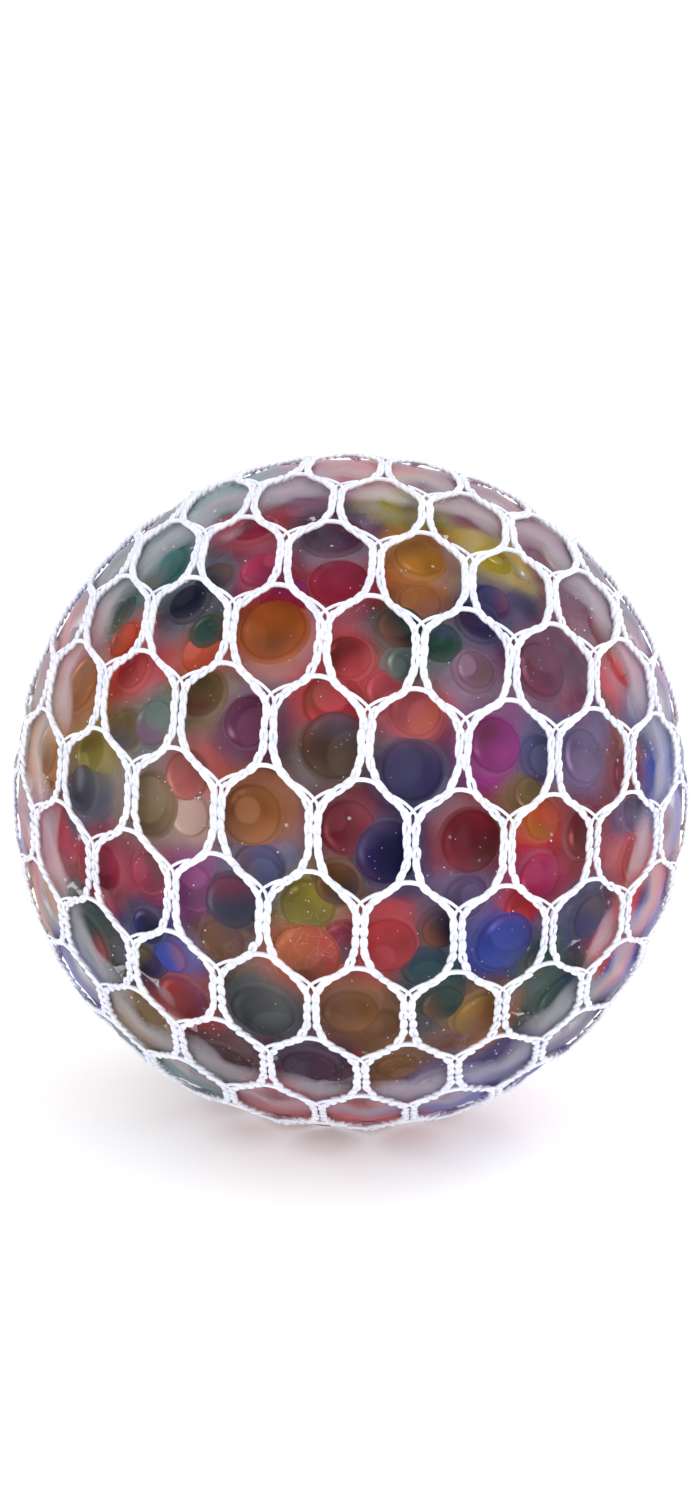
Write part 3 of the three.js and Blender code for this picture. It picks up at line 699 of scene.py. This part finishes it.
def pleat_wave(turn, along):
    """A row of folded pleats round the axis, sharper on top than between, drifting in width."""
    drift = 0.18 * np.sin(3 * turn + 1.0) + 0.1 * np.sin(5 * turn + 2.1)
    phase = PLEATS * (turn + 0.06 * np.sin(along * 0.8)) + 2.2 * drift
    return 1 - 2 * np.abs(np.sin(phase / 2)) ** 1.4 + 0.25 * np.sin(2 * phase + along)


def net_gather():
    """The pleated cap, neck and tuft as one closed cloth: its outside follows the profile with
    pleats added to the radius, its inside follows it one yarn deeper, and both meet at the end."""
    turn = circle(PLEATS * 16)
    profile = gather_profile()
    r, h, depth = profile.T[..., None]
    frayed = 0.35 * np.sin(9 * turn) + 0.25 * np.sin(23 * turn + 1)
    ragged = h + smooth(h, TAIL_END - 2.5, TAIL_END - 0.5) * frayed
    outer = around(r + depth * pleat_wave(turn, h), ragged, turn)
    r, h, _ = profile[::-1][:60:3].T[..., None]
    r = np.maximum(r - YARN_THICKNESS - 0.6 * smooth(h, NECK_BASE + NECK_LENGTH, TAIL_END), 0.5)
    h = np.minimum(h, TAIL_END - 0.7)
    keep = h[:, 0] > TAIL_END - TUFT_LENGTH * 0.6
    r, h = r[keep], h[keep]
    inner = around(r + 0.6 * pleat_wave(turn, h), h, turn)
    body = np.concatenate([outer, inner])
    ends = [[0, profile[0][1] + 1.2, 0], [0, h[-1, 0] - 0.4, 0]]
    return np.concatenate([body.reshape(-1, 3), ends]), *tube_faces(*body.shape[:2])


def gather_ribs():
    """Chains of stitches that run over the pleats from the rim of the cap to the tuft's end."""
    r, h, depth = gather_profile().T
    run = np.concatenate([[0], np.cumsum(np.hypot(np.diff(r), np.diff(h)))])
    ribs = PLEATS * 3
    count = int(run[-1] / 1.5)
    length = run[-1] / count
    rib, stitch = np.meshgrid(np.arange(ribs), np.arange(count), indexing="ij")
    rib, stitch = rib.reshape(-1, 1), stitch.reshape(-1, 1)
    loop = circle(10, 0.5)
    s = np.clip((stitch + 0.5 - 0.6 * np.cos(loop)) * length, 0.02, run[-1] - 0.02)
    rr, hh, dd = (np.interp(s, run, v) for v in (r, h, depth))
    squeeze = np.clip(rr / 9, 0.42, 1)
    turn = 2 * np.pi * (rib + 0.5) / ribs + 0.26 * squeeze * np.sin(loop) / rr
    rr = rr + dd * pleat_wave(turn, hh) + 0.06 - 0.1 * np.cos(loop) * squeeze
    return ring_tubes(around(rr, hh, turn), 0.19 * squeeze, 5)


def winding():
    """The binding thread: two plies twisted round each other along a helix on the neck."""
    t = np.linspace(0, 1, 56 * THREAD_TURNS)
    turn = 2 * np.pi * THREAD_TURNS * t
    radius = NECK_RADIUS + PLEAT_DEPTH / 4 + SEAT_GAP + THREAD_DIAMETER / 2
    centre = around(radius, NECK_BASE + THREAD_PITCH / 2 + THREAD_PITCH * THREAD_TURNS * t, turn)
    out, axis = around(1.0, 0 * turn, turn), np.array([0.0, 1.0, 0.0])
    paths = []
    for ply in (0, np.pi):
        twist = (turn * 4.5 + ply)[:, None]
        paths.append(centre + THREAD_DIAMETER * 0.25 * (np.cos(twist) * out + np.sin(twist) * axis))
    return open_tubes(np.array(paths), THREAD_DIAMETER * 0.27, 8)


# ================================================================ the skin and its stopper
def bladder_skin():
    """The bladder with its wall: its outside is a ball that is pressed in under the net's chains
    and bulges in every window by one minus a bell curve of the distance to the nearest chain.
    At the back it turns in round the stopper's seat and hole and its inside is a plain ball.
    Gives its points and faces, and which of the faces look inside."""
    rows, sides, turn = 150, SKIN_SIDES, circle(SKIN_SIDES)
    seat = PLUG_HEAD_RADIUS + SEAT_GAP
    boss = seat + BOSS_WALL
    angle = np.linspace(0.012, math.pi - math.asin(seat / BLADDER_RADIUS), rows)
    ways = globe(angle, sides)
    lines = net_lines().astype(np.float32)
    flat = ways.reshape(-1, 3).astype(np.float32)
    batches = range(0, len(flat), 1500)
    nearest = np.concatenate([(flat[i : i + 1500] @ lines.T).max(1) for i in batches])
    away = np.arccos(np.clip(nearest, -1, 1)) * BLADDER_RADIUS
    swell = 1 - np.exp(-((np.maximum(away - 0.35, 0)) ** 2) / (2 * BULGE_WIDTH**2))
    back = smooth(np.repeat(angle, sides), GATHER_ANGLE - 0.12, GATHER_ANGLE)
    radius = (SKIN_UNDER_NET + BULGE * swell) * (1 - back) + BLADDER_RADIUS * back
    outer = ways * radius.reshape(rows, sides, 1)
    seat_depth = BLADDER_RADIUS - PLUG_HEAD_THICKNESS - 2 * SEAT_GAP
    boss_end = BLADDER_RADIUS - BOSS_DEPTH
    lip = np.array(
        [
            (seat, seat_depth + 0.15),
            (seat - 0.15, seat_depth),
            (HOLE_RADIUS + 0.15, seat_depth),
            (HOLE_RADIUS, seat_depth - 0.15),
            (HOLE_RADIUS, boss_end + 0.15),
            (HOLE_RADIUS + 0.15, boss_end),
            (boss - 0.3, boss_end),
            (boss, boss_end + 0.3),
            (boss + 0.2, math.sqrt(SKIN_INSIDE**2 - (boss + 0.2) ** 2)),
        ]
    )
    lip = around(lip[:, :1], lip[:, 1:], turn)
    angle = np.linspace(math.pi - math.asin((boss + 0.4) / SKIN_INSIDE), 0.012, 70)
    body = np.concatenate([outer, lip, globe(angle, sides) * SKIN_INSIDE])
    poles = [[0, -float(radius[:sides].mean()), 0], [0, -SKIN_INSIDE, 0]]
    inside = np.repeat(np.arange(len(body) - 1) >= rows, sides)
    inside = np.concatenate([inside, np.zeros(sides, bool), np.ones(sides, bool)])
    points = np.concatenate([body.reshape(-1, 3), poles])
    return points, *tube_faces(len(body), sides), inside


def stopper():
    """The stopper, turned round the back axis: a crowned head in the seat and a tapered shank in
    the hole, as (across, along) from the shank's tip to the crown."""
    under = BLADDER_RADIUS - PLUG_HEAD_THICKNESS - SEAT_GAP
    top = math.sqrt(BLADDER_RADIUS**2 - PLUG_HEAD_RADIUS**2)
    shank = HOLE_RADIUS - SEAT_GAP
    tip = under - PLUG_SHANK_LENGTH
    profile = [
        (0.02, tip),
        (shank * 0.78, tip),
        (shank * 0.86, tip + 0.12),
        (shank, tip + 0.9),
        (shank, under - 0.1),
        (shank + 0.1, under),
        (PLUG_HEAD_RADIUS - 0.12, under),
        (PLUG_HEAD_RADIUS, under + 0.12),
    ]
    for turn in np.linspace(0, 1, 8) * math.pi / 2:
        across = max(PLUG_HEAD_RADIUS * max(math.cos(turn), 0) ** 0.6, 0.02)
        profile.append((across, top - 0.35 + 0.35 * math.sin(turn)))
    profile, sides = np.array(profile), 64
    body = around(profile[:, :1], profile[:, 1:], circle(sides)).reshape(-1, 3)
    poles = [[0, profile[0, 1], 0], [0, profile[-1, 1], 0]]
    return np.concatenate([body, poles]), *tube_faces(len(profile), sides)


# ================================================================ the gel beads
# Each bead's contact patch as read off the photograph: shade, place across and down, and how
# wide the patch is, all in pixels of the picture. The first ones are bead_01 and on, in order,
# the others stand between them and belong to the bead pack.
PATCHES = [
    ("plum", 312, 489, 43), ("crimson", 252, 529, 41), ("violet_dark", 330, 535, 58),
    ("amber", 415, 559, 48), ("navy_dark", 187, 602, 39), ("magenta_red", 260, 571, 43),
    ("orange", 271, 629, 64), ("crimson", 336, 583, 56), ("green_dark", 397, 627, 45),
    ("navy", 475, 620, 41), ("orange_brown", 83, 682, 56), ("red", 133, 669, 38),
    ("red", 345, 657, 43), ("mauve", 470, 669, 37), ("plum", 535, 669, 54), ("amber", 50, 747, 50),
    ("grey_green", 154, 721, 44), ("olive_brown", 200, 692, 46), ("plum", 247, 720, 48),
    ("olive_dark", 332, 743, 62), ("red", 411, 710, 48), ("magenta", 490, 743, 52),
    ("slate_blue", 637, 702, 44), ("slate_dark", 83, 786, 44), ("olive_brown", 150, 802, 58),
    ("navy", 408, 768, 56), ("slate_violet", 576, 754, 52), ("red_dark", 618, 773, 42),
    ("crimson", 48, 830, 48), ("crimson", 105, 864, 43), ("crimson", 148, 869, 38),
    ("orange_brown", 250, 812, 56), ("navy", 383, 849, 58), ("red_dark", 466, 838, 58),
    ("red_dark", 578, 830, 48), ("red", 626, 856, 46), ("navy", 148, 922, 36),
    ("navy_dark", 230, 898, 52), ("brown", 334, 880, 40), ("magenta_red", 533, 873, 45),
    ("navy", 583, 912, 45), ("green_dark", 91, 935, 56), ("orange_deep", 303, 951, 66),
    ("red", 383, 941, 56), ("blue", 499, 937, 60), ("green_dark", 552, 990, 54),
    ("red", 608, 931, 42), ("red_brown", 183, 993, 54), ("slate_green", 260, 1006, 62),
    ("amber_brown", 347, 1006, 53), ("amber_brown", 476, 1009, 58), ("maroon_dark", 224, 1054, 55),
    ("plum_dark", 307, 1060, 53), ("brown", 393, 1060, 42), ("slate_violet", 432, 1074, 42),
    ("teal", 232, 497, 40), ("olive_yellow", 397, 503, 37), ("maroon", 471, 509, 38),
    ("yellow", 490, 558, 26), ("green", 117, 613, 36), ("slate_dark", 212, 577, 38),
    ("crimson", 282, 596, 46), ("orange_brown", 416, 602, 40), ("navy", 488, 600, 34),
    ("orange_red", 124, 639, 36), ("orange_red", 200, 652, 42), ("green", 206, 631, 34),
    ("grey_green", 401, 664, 36), ("green", 437, 640, 32), ("maroon", 598, 632, 32),
    ("red", 615, 663, 40), ("olive_yellow", 89, 750, 40), ("olive_brown", 124, 728, 40),
    ("red_bright", 330, 700, 56), ("red", 384, 690, 42), ("slate_blue", 663, 741, 40),
    ("pink_red", 185, 773, 46), ("olive_brown", 522, 791, 30), ("slate_blue", 533, 756, 44),
    ("slate_violet", 628, 806, 38), ("blue", 655, 786, 42), ("beige", 187, 812, 42),
    ("slate_blue", 256, 867, 50), ("red_dark", 345, 825, 50), ("orange_red", 537, 817, 38),
    ("red_dark", 668, 823, 36), ("magenta", 189, 882, 46), ("olive_yellow", 305, 902, 50),
    ("plum_dark", 436, 925, 36), ("slate_violet", 461, 893, 42), ("red", 517, 903, 38),
    ("navy", 147, 957, 34), ("blue", 169, 952, 36), ("brown", 220, 937, 44),
    ("crimson", 341, 939, 44), ("teal_dark", 421, 962, 44), ("green", 536, 952, 38),
    ("olive_brown", 133, 1008, 44), ("brown", 376, 1019, 36), ("green_dark", 438, 999, 42),
    ("indigo", 511, 1049, 42), ("navy", 577, 1003, 36), ("red", 277, 1101, 48),
    ("red", 337, 1113, 48), ("red", 387, 1111, 48),
]

SHADES = {
    "teal": "29595b", "teal_dark": "204149", "plum": "572743", "plum_dark": "341e36",
    "olive_yellow": "7e711e", "maroon": "632334", "maroon_dark": "41161d", "crimson": "821a36",
    "magenta_red": "8a1e47", "slate_dark": "363847", "slate_blue": "454a70",
    "slate_violet": "56476c", "slate_green": "293032", "violet_dark": "3c1e3a", "amber": "915d11",
    "amber_brown": "6d441a", "orange": "9f501e", "orange_deep": "914516", "orange_brown": "824c23",
    "orange_red": "a43f27", "yellow": "9c861e", "navy": "232049", "navy_dark": "171a30",
    "green": "1a3c32", "green_dark": "132d27", "grey_green": "56645f", "red": "9c2e34",
    "red_bright": "a42330", "red_dark": "6c1a27", "red_brown": "77211c", "pink_red": "9c4e4a",
    "mauve": "715268", "olive_brown": "665234", "olive_dark": "4a382b", "brown": "5f3c21",
    "beige": "9c7e73", "magenta": "823470", "blue": "233482", "indigo": "2d2152",
}
# The shades that the beads on the unseen sides are drawn from, and those of the layer behind
PACKED_SHADES = (
    "crimson red orange amber olive_brown navy blue violet_dark green slate_violet magenta "
    "red_dark brown teal plum olive_yellow"
).split()
INNER_SHADES = ("red", "amber", "navy", "green", "plum", "slate_violet")


def picture_axes():
    """The camera's right, up and back axes in the model's frame, turned about its own line of
    sight as the photograph is."""
    level = math.cos(VIEW_UP)
    back = np.array(
        [math.sin(VIEW_RIGHT) * level, -math.cos(VIEW_RIGHT) * level, math.sin(VIEW_UP)]
    )
    right = unit(np.cross([0.0, 0.0, 1.0], back))
    up = np.cross(back, right)
    c, s = math.cos(PICTURE_ROLL), math.sin(PICTURE_ROLL)
    return right * c + up * s, up * c - right * s, back


def patch_directions(x, y, radius):
    """Where the lines of sight through picture points x, y first meet a ball of that radius:
    the nearer root of the square law for a line and a ball, or the limb where they miss it."""
    right, up, back = picture_axes()
    eye = back * VIEW_DISTANCE
    across, down = (x - BALL_X) / FOCAL_PIXELS, (y - BALL_Y) / FOCAL_PIXELS
    ray = unit(right * across[:, None] - up * down[:, None] - back)
    half = ray @ eye
    inside = np.maximum(half**2 - (eye @ eye - radius**2), 0)
    return unit(eye + ray * (-half - np.sqrt(inside))[:, None])


class Bead:
    """One gel bead: its shade, its direction, the radius of its patch on the skin, its own
    radius, how deep its patch lies by its rank from 0 to 1, where its painted highlight and its
    ghost are, and the colour that shows through one side of it."""

    def __init__(self, shade, towards, patch, rank, seed):
        self.shade = shade
        self.towards = towards
        self.radius = min(max(patch * BEAD_TO_PATCH, SMALL_BEAD_RADIUS), BEAD_RADIUS)
        self.patch = min(patch, self.radius * MOST_PATCH)
        self.contact = CONTACT_RADIUS - RANK_DEPTH * rank
        self.glint = seed.uniform(0.75 * math.pi, 1.35 * math.pi)
        self.painted_glint_width = seed.uniform(0.25, 0.6)
        self.painted_glint_strength = seed.uniform(0.2, 1.0) ** 1.5
        self.ghost = seed.uniform(-0.75, 0.75, 2)
        self.ghost_size = seed.uniform(0.45, 0.9)
        self.ghost_strength = seed.uniform(0.0, 1.0)
        self.behind = SHADES[list(SHADES)[int(seed.integers(len(SHADES)))]]
        self.behind_way = seed.uniform(0, 2 * math.pi)
        self.behind_strength = seed.uniform(0.1, 0.6)


def bead_shape(beads, patch_rows, body_rows, sides):
    """Many beads at once: a ball of its own radius, cut off where it would pass the skin by
    drawing each such point straight in towards the ball's middle. The first rows share out the
    contact patch, the others the rest of the ball. Gives points, faces, and what the gel's look
    reads at every point: the ghost, the painted highlight, the painted shade along the edge of
    the patch, the pale painted ring of light round it, how much of the colour behind shows
    through, and how it fades towards its edge."""
    keys = ("towards", "radius", "patch", "contact")
    towards, radius, patch, contact = (np.array([getattr(b, key) for b in beads]) for key in keys)

    def each(key):
        return np.array([getattr(bead, key) for bead in beads])[:, None, None]

    depth = np.sqrt(contact**2 - patch**2) - np.sqrt(radius**2 - patch**2)
    right = unit(-np.cross(towards, [0.0, 0.0, 1.0]))
    up = -np.cross(towards, right)
    edge = np.arcsin(patch / radius)[:, None]
    on_patch = np.arcsin(np.sin(edge) * np.linspace(0.02, 1, patch_rows))
    rest = edge + (math.pi - 0.02 - edge) * (np.linspace(0, 1, body_rows + 1)[1:]) ** 1.25
    theta = np.concatenate([on_patch, rest], 1)[..., None]
    turn = circle(sides)
    axial, across = np.cos(theta), np.sin(theta)
    offset = (
        axial[..., None] * towards[:, None, None]
        + (across * np.cos(turn))[..., None] * right[:, None, None]
        + (across * np.sin(turn))[..., None] * up[:, None, None]
    ) * radius[:, None, None, None]
    points = towards[:, None, None] * depth[:, None, None, None] + offset
    far = np.linalg.norm(points, axis=-1)
    limit, soft = contact[:, None, None], 0.05
    nearer = limit - soft * np.log1p(np.exp(np.clip((limit - far) / soft, -40, 40)))
    points = points * (nearer / far)[..., None]

    local = across * radius[:, None, None] / patch[:, None, None]
    px, py = local * np.cos(turn), local * np.sin(turn)
    row = np.arange(patch_rows + body_rows)[None, :, None] + 0 * px
    outward = axial > 0
    gx, gy = np.array([b.ghost for b in beads]).T[..., None, None]
    size, way, side = each("ghost_size"), each("glint"), each("behind_way")
    from_ghost = smooth(np.hypot(px - gx, py - gy), size - 0.03, size + 0.03)
    off = np.angle(np.exp(1j * (turn - way)))
    # painted highlight: a bright crescent just inside the patch's rim, towards one side
    crescent = np.exp(-(((local - 0.84) / 0.09) ** 2))
    towards_side = px * np.cos(side) + py * np.sin(side)
    fields = {
        "ghost": each("ghost_strength") * (1 - from_ghost) * outward,
        "glint": each("painted_glint_strength")
        * crescent
        * np.exp(-((off / each("painted_glint_width")) ** 2))
        * outward,
        # painted shade: a dark line on the patch's last ring
        "edge": 1.0 * (row == patch_rows - 1),
        # painted light: a pale ring just outside the patch
        "halo": (row >= patch_rows) * (1 - smooth(local, 1.15, 1.45)) * outward,
        "blend": each("behind_strength") * smooth(towards_side, -0.3, 0.9) * outward,
        "fade": 0.15 * smooth(local, 0.6, 1.0) + 0 * px,
    }
    n = len(beads)
    fields = {
        key: np.concatenate([f.reshape(n, -1), f[:, 0].mean(1, keepdims=True), np.zeros((n, 1))], 1)
        for key, f in fields.items()
    }
    poles = np.stack([towards * contact[:, None], towards * (depth - radius)[:, None]], 1)
    points = np.concatenate([points.reshape(n, -1, 3), poles], 1)
    return points, *tube_faces(patch_rows + body_rows, sides), fields


def all_beads():
    """The beads by piece, seated as in the part's source: the photograph's patches in order, of
    which the first stand for the frame's own beads, and then the ones that it doesn't show,
    along a spiral with n = 4 pi R2 / pitch2 places, clear of those that it does."""
    seed = np.random.default_rng(11)
    x, y, width = np.array([patch[1:] for patch in PATCHES], float).T
    sight = BLADDER_RADIUS - SIGHT_DEPTH
    towards = patch_directions(x, y, sight)
    patch = width / 2 * (VIEW_DISTANCE - sight) / FOCAL_PIXELS * PATCH_SPREAD
    ranks = []
    for i in range(len(PATCHES)):
        near = np.linalg.norm(towards[:i] - towards[i], axis=1) * sight
        taken = {ranks[j] for j in np.flatnonzero(near < patch[:i] + patch[i])}
        ranks.append(next(r for r in range(len(PATCHES)) if r not in taken))
    ranks = np.array(ranks) / max(ranks)
    seen = [Bead(PATCHES[i][0], towards[i], patch[i], ranks[i], seed) for i in range(len(PATCHES))]
    names = sorted(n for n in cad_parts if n.startswith("bead_") and n != "bead_pack")
    count = round(4 * math.pi * BLADDER_RADIUS**2 / BEAD_PITCH**2)
    i = np.arange(count)
    spots = direction(np.arccos(1 - (2 * i + 1) / count), math.pi * (3 - math.sqrt(5)) * i)
    sizes = PACKED_PATCH + PACKED_DRIFT * np.sin(PACKED_TURN * i)
    near = np.linalg.norm(spots[:, None] - towards[None], axis=2).min(1) * BLADDER_RADIUS
    packed = seen[len(names) :]
    for j in np.flatnonzero(near > PACKED_APART):
        shade = PACKED_SHADES[int(seed.integers(len(PACKED_SHADES)))]
        packed.append(Bead(shade, spots[j], sizes[j], 0, seed))
    return dict(zip(names, seen)), packed


def inner_beads(seed):
    """One shade's share of the layer of beads behind the outer one: whole balls spread over a
    smaller ball on a golden spiral, each place jittered a little."""
    k = np.arange(INNER_A_SHADE) + 0.5
    height = 1 - 2 * k / INNER_A_SHADE
    spots = around(np.sqrt(1 - height**2), height, math.pi * (1 + math.sqrt(5)) * k)
    spots = unit(spots + seed.normal(0, 0.03, spots.shape))
    rows, sides = 12, 18
    ball = globe(np.linspace(0.05, math.pi - 0.05, rows), sides).reshape(-1, 3) * BEAD_RADIUS
    ball = np.concatenate([ball, [[0, -BEAD_RADIUS, 0], [0, BEAD_RADIUS, 0]]])
    return spots[:, None] * INNER_LAYER_RADIUS + ball, *tube_faces(rows, sides)


def air_bubbles(seed):
    """Tiny round bubbles that cling to the inside of the skin, in loose swarms: each direction
    is drawn towards the nearest of a few swarm middles by a random share."""
    spots = unit(seed.normal(size=(BUBBLES, 3)))
    swarms = unit(seed.normal(size=(BUBBLES // BUBBLES_A_SWARM, 3)))
    nearest = swarms[np.argmax(spots @ swarms.T, axis=1)]
    pull = seed.uniform(0, 1, (BUBBLES, 1)) ** 2
    spots = unit(spots * (1 - pull) + nearest * pull + seed.normal(0, 0.02, (BUBBLES, 3)))
    size = np.exp(seed.normal(-2.8, 0.3, BUBBLES))
    rows, sides = 4, 6
    ball = globe(np.linspace(0.5, math.pi - 0.5, rows), sides).reshape(-1, 3)
    ball = np.concatenate([ball, [[0, -1, 0], [0, 1, 0]]])
    middle = spots * (SKIN_INSIDE - 0.02 - size)[:, None]
    points = middle[:, None] + ball * size[:, None, None]
    quads, fans = (repeated(faces, BUBBLES, len(ball)) for faces in tube_faces(rows, sides))
    return points.reshape(-1, 3), quads, fans


def bead_glow(points, spread):
    """The colour that the beads near each point lend it: their mean, weighted by a bell curve of
    the distance past each one's contact patch, made a little livelier, and lightened as a painted
    glow that lifts the shade between the beads."""
    towards = np.array([b.towards for b in beads], np.float32)
    colour = np.array([linear(SHADES[b.shade]) for b in beads], np.float32)
    reach = np.array([b.patch for b in beads], np.float32)
    ways = unit(points).astype(np.float32)
    glow = []
    for i in range(0, len(ways), 4000):
        near = ways[i : i + 4000] @ towards.T
        away = np.arccos(np.clip(near, -1, 1)) * CONTACT_RADIUS
        weight = np.exp(-((np.maximum(away - reach, 0) / spread) ** 2)) + 1e-6
        glow.append((weight @ colour) / weight.sum(1)[:, None])
    glow = np.concatenate(glow)
    grey = glow.mean(1, keepdims=True)
    # painted glow: the mean colour is lightened and raised, to lift the shade between the beads
    return np.maximum(grey + 1.3 * (glow - grey), 0.004) * 1.5 + 0.035


def gel_attributes(points, fields, behind):
    """What the gel's look reads at each point: the bead's own fields, how far it fades from 0.4
    to 3 mm under the patches, the colour that it fades into and the one behind it."""
    flat = points.reshape(-1, 3)
    sunk = 0.85 * smooth(CONTACT_RADIUS - np.linalg.norm(flat, axis=1), 0.4, 3.0)
    sunk = np.maximum(sunk, fields["fade"].ravel())
    numbers = {key: field.ravel() for key, field in fields.items()} | {"sunk": sunk}
    behind = np.repeat([linear(shade) for shade in behind], len(flat) // len(behind), axis=0)
    return numbers, {"glow": bead_glow(flat, 2.0), "behind": behind}


def packed_piece(name, shade, points, quads, fans, fields=None, behind=None):
    """A piece of one shade that stands for a part of the bead pack: n shapes of m points with
    the same faces. One without its beads' fields has the gel's plain look."""
    n, m = points.shape[:2]
    plain = dict.fromkeys(FIELDS, np.zeros((n, m)))
    look = gel_attributes(points, fields or plain, behind or [SHADES[shade]])
    piece = mesh_piece(name, points, repeated(quads, n, m), repeated(fans, n, m), *look)
    dressed(piece, gels[shade], "gel_mixed", "bead_pack")


# ================================================================ building
yarn = yarn_material("knitted_yarn", "f2f3fb", "d0d4e8")
skin_look = skin_material("clear_skin_look")
film_look = film_material("water_film_look")

paths, yarn_radius, angle, clock = net_stitches()
share = (clock + math.pi) / (2 * math.pi)
quarter = np.minimum((share * 4).astype(int), 3)
front = angle < NET_FRONT
groups = {"net_front": front}
for i, side in enumerate(("left_below", "right_below", "right_above", "left_above")):
    groups["net_" + side] = ~front & (quarter == i)
for name, chosen in groups.items():
    stitches = ring_tubes(paths[chosen], yarn_radius[chosen], 5)
    dressed(mesh_piece(name, *stitches), yarn, "net_yarn", "net")
dressed(mesh_piece("net_ties", *net_threads()), yarn, "net_yarn", "net")
# painted shade: the gathered cloth's yarn is a darker copy of the net's yarn, for the shade in its
# pleats
gathered = yarn_material("gathered_yarn_painted_shade", "e4e7f4", "aeb4d0")
dressed(mesh_piece("net_gather", *net_gather()), gathered, "net_yarn", "net")
dressed(mesh_piece("net_gather_ribs", *gather_ribs()), gathered, "net_yarn", "net")
binding = yarn_material("binding_yarn", "e2e5f4", "b9bed6")
dressed(mesh_piece("binding_twist", *winding()), binding, "net_yarn", "binding_thread")

named, packed = all_beads()
beads = [*named.values(), *packed]
*skin_shape, inside = bladder_skin()
glow = {"glow": bead_glow(skin_shape[0], 2.5)}
skin = mesh_piece("bladder_skin", *skin_shape, colours=glow)
dressed(skin, skin_look, "clear_skin", "bladder")
skin.data.materials.append(skin_inside_material("clear_skin_inside"))
skin.data.polygons.foreach_set("material_index", inside.astype(np.int32))
rubber = rubber_material("stopper_rubber")
dressed(mesh_piece("stopper", *stopper()), rubber, "clear_skin", "fill_plug")

gels = {
    shade: gel_material("gel_" + shade + "_look", base, 1.7 * i)
    for i, (shade, base) in enumerate(SHADES.items())
}
points, quads, fans, fields = bead_shape(named.values(), 18, 12, 40)
for i, (node, bead) in enumerate(named.items()):
    look = gel_attributes(points[i], {key: f[i] for key, f in fields.items()}, [bead.behind])
    piece = mesh_piece("gel_" + node, points[i], quads, fans, *look)
    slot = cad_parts[node].data.materials[0].name.split(".")[0]
    dressed(piece, gels[bead.shade], slot, node)
points, quads, fans, fields = bead_shape(packed, 14, 8, 32)
FIELDS = tuple(fields)
for shade in sorted({b.shade for b in packed}):
    chosen = [i for i, b in enumerate(packed) if b.shade == shade]
    behind = [packed[i].behind for i in chosen]
    own = {key: f[chosen] for key, f in fields.items()}
    packed_piece("packed_" + shade, shade, points[chosen], quads, fans, own, behind)
inner_seed = np.random.default_rng(5)
for shade in INNER_SHADES:
    packed_piece("inner_" + shade, shade, *inner_beads(inner_seed))
bubbles = mesh_piece("air_bubbles", *air_bubbles(np.random.default_rng(8)))
dressed(bubbles, bubble_material("air_bubble_look"), "gel_mixed", "bead_pack")
points, quads, fans = wavy_ball(CORE_RADIUS, 0.5, (13, 14, 12), (1, 2), 60, 90, 0.03)
packed_piece("packed_core", "plum_dark", points[None], quads, fans)
film = wavy_ball(FILM_RADIUS, 0.05, (9, 10, 11), (2, 1), 110, 160, 0.015)
film_piece = mesh_piece("water_film", *film, colours={"glow": bead_glow(film[0], 1.4)})
dressed(film_piece, film_look, "gel_mixed", "bead_pack")

# ================================================================ stage, light and camera
scene = bpy.context.scene
scene.view_settings.view_transform = "Standard"
world = bpy.data.worlds.new("studio")
world.use_nodes = True
world.node_tree.nodes["Background"].inputs["Color"].default_value = (1.0, 1.0, 1.0, 1.0)
world.node_tree.nodes["Background"].inputs["Strength"].default_value = 1.0
scene.world = world

floor_mesh = bpy.data.meshes.new("floor")
floor_mesh.from_pydata([(-3, -3, 0), (3, -3, 0), (3, 3, 0), (-3, 3, 0)], [], [(0, 1, 2, 3)])
floor = bpy.data.objects.new("floor", floor_mesh)
scene.collection.objects.link(floor)
paper = Nodes("floor_paper")
white = paper.mix(paper.noise(60), (0.96, 0.96, 0.965, 1), (0.98, 0.98, 0.98, 1))
light = {"Emission_Color": (1.0, 1.0, 1.0, 1.0), "Emission_Strength": 0.24}
white = paper.principled(white, 0.9, Specular_IOR_Level=0.1, **light)
floor_mesh.materials.append(paper.finish(white))


def softbox(name, place, size, power):
    """A square area light that looks at the middle of the ball."""
    light = bpy.data.lights.new(name, "AREA")
    light.size = size
    light.energy = power
    lamp = bpy.data.objects.new(name, light)
    lamp.location = place
    lamp.rotation_euler = (Vector(middle) - Vector(place)).to_track_quat("-Z", "Y").to_euler()
    scene.collection.objects.link(lamp)


middle = BALL_CENTRE * METRE
softbox("key", (-0.35, -0.75, 0.55), 0.6, 1.2)
softbox("fill", (0.6, -0.6, 0.35), 0.5, 0.5)
softbox("rim", (0.42, 0.3, 0.5), 0.3, 1.0)

right, up, back = picture_axes()
camera_data = bpy.data.cameras.new("camera")
camera_data.sensor_fit = "VERTICAL"
camera_data.sensor_height = SENSOR
camera_data.lens = SENSOR * FOCAL_PIXELS * CAMERA_ZOOM / PICTURE_HEIGHT
camera_data.shift_x = -(BALL_X + CAMERA_RIGHT - PICTURE_WIDTH / 2) / PICTURE_HEIGHT
camera_data.shift_y = (BALL_Y + CAMERA_DOWN - PICTURE_HEIGHT / 2) / PICTURE_HEIGHT
camera_data.clip_start = 0.01
camera = bpy.data.objects.new("camera", camera_data)
place = middle + back * VIEW_DISTANCE * METRE
camera.matrix_world = Matrix(
    [[right[i], up[i], back[i], place[i]] for i in range(3)] + [[0, 0, 0, 1]]
)
scene.collection.objects.link(camera)
scene.camera = camera
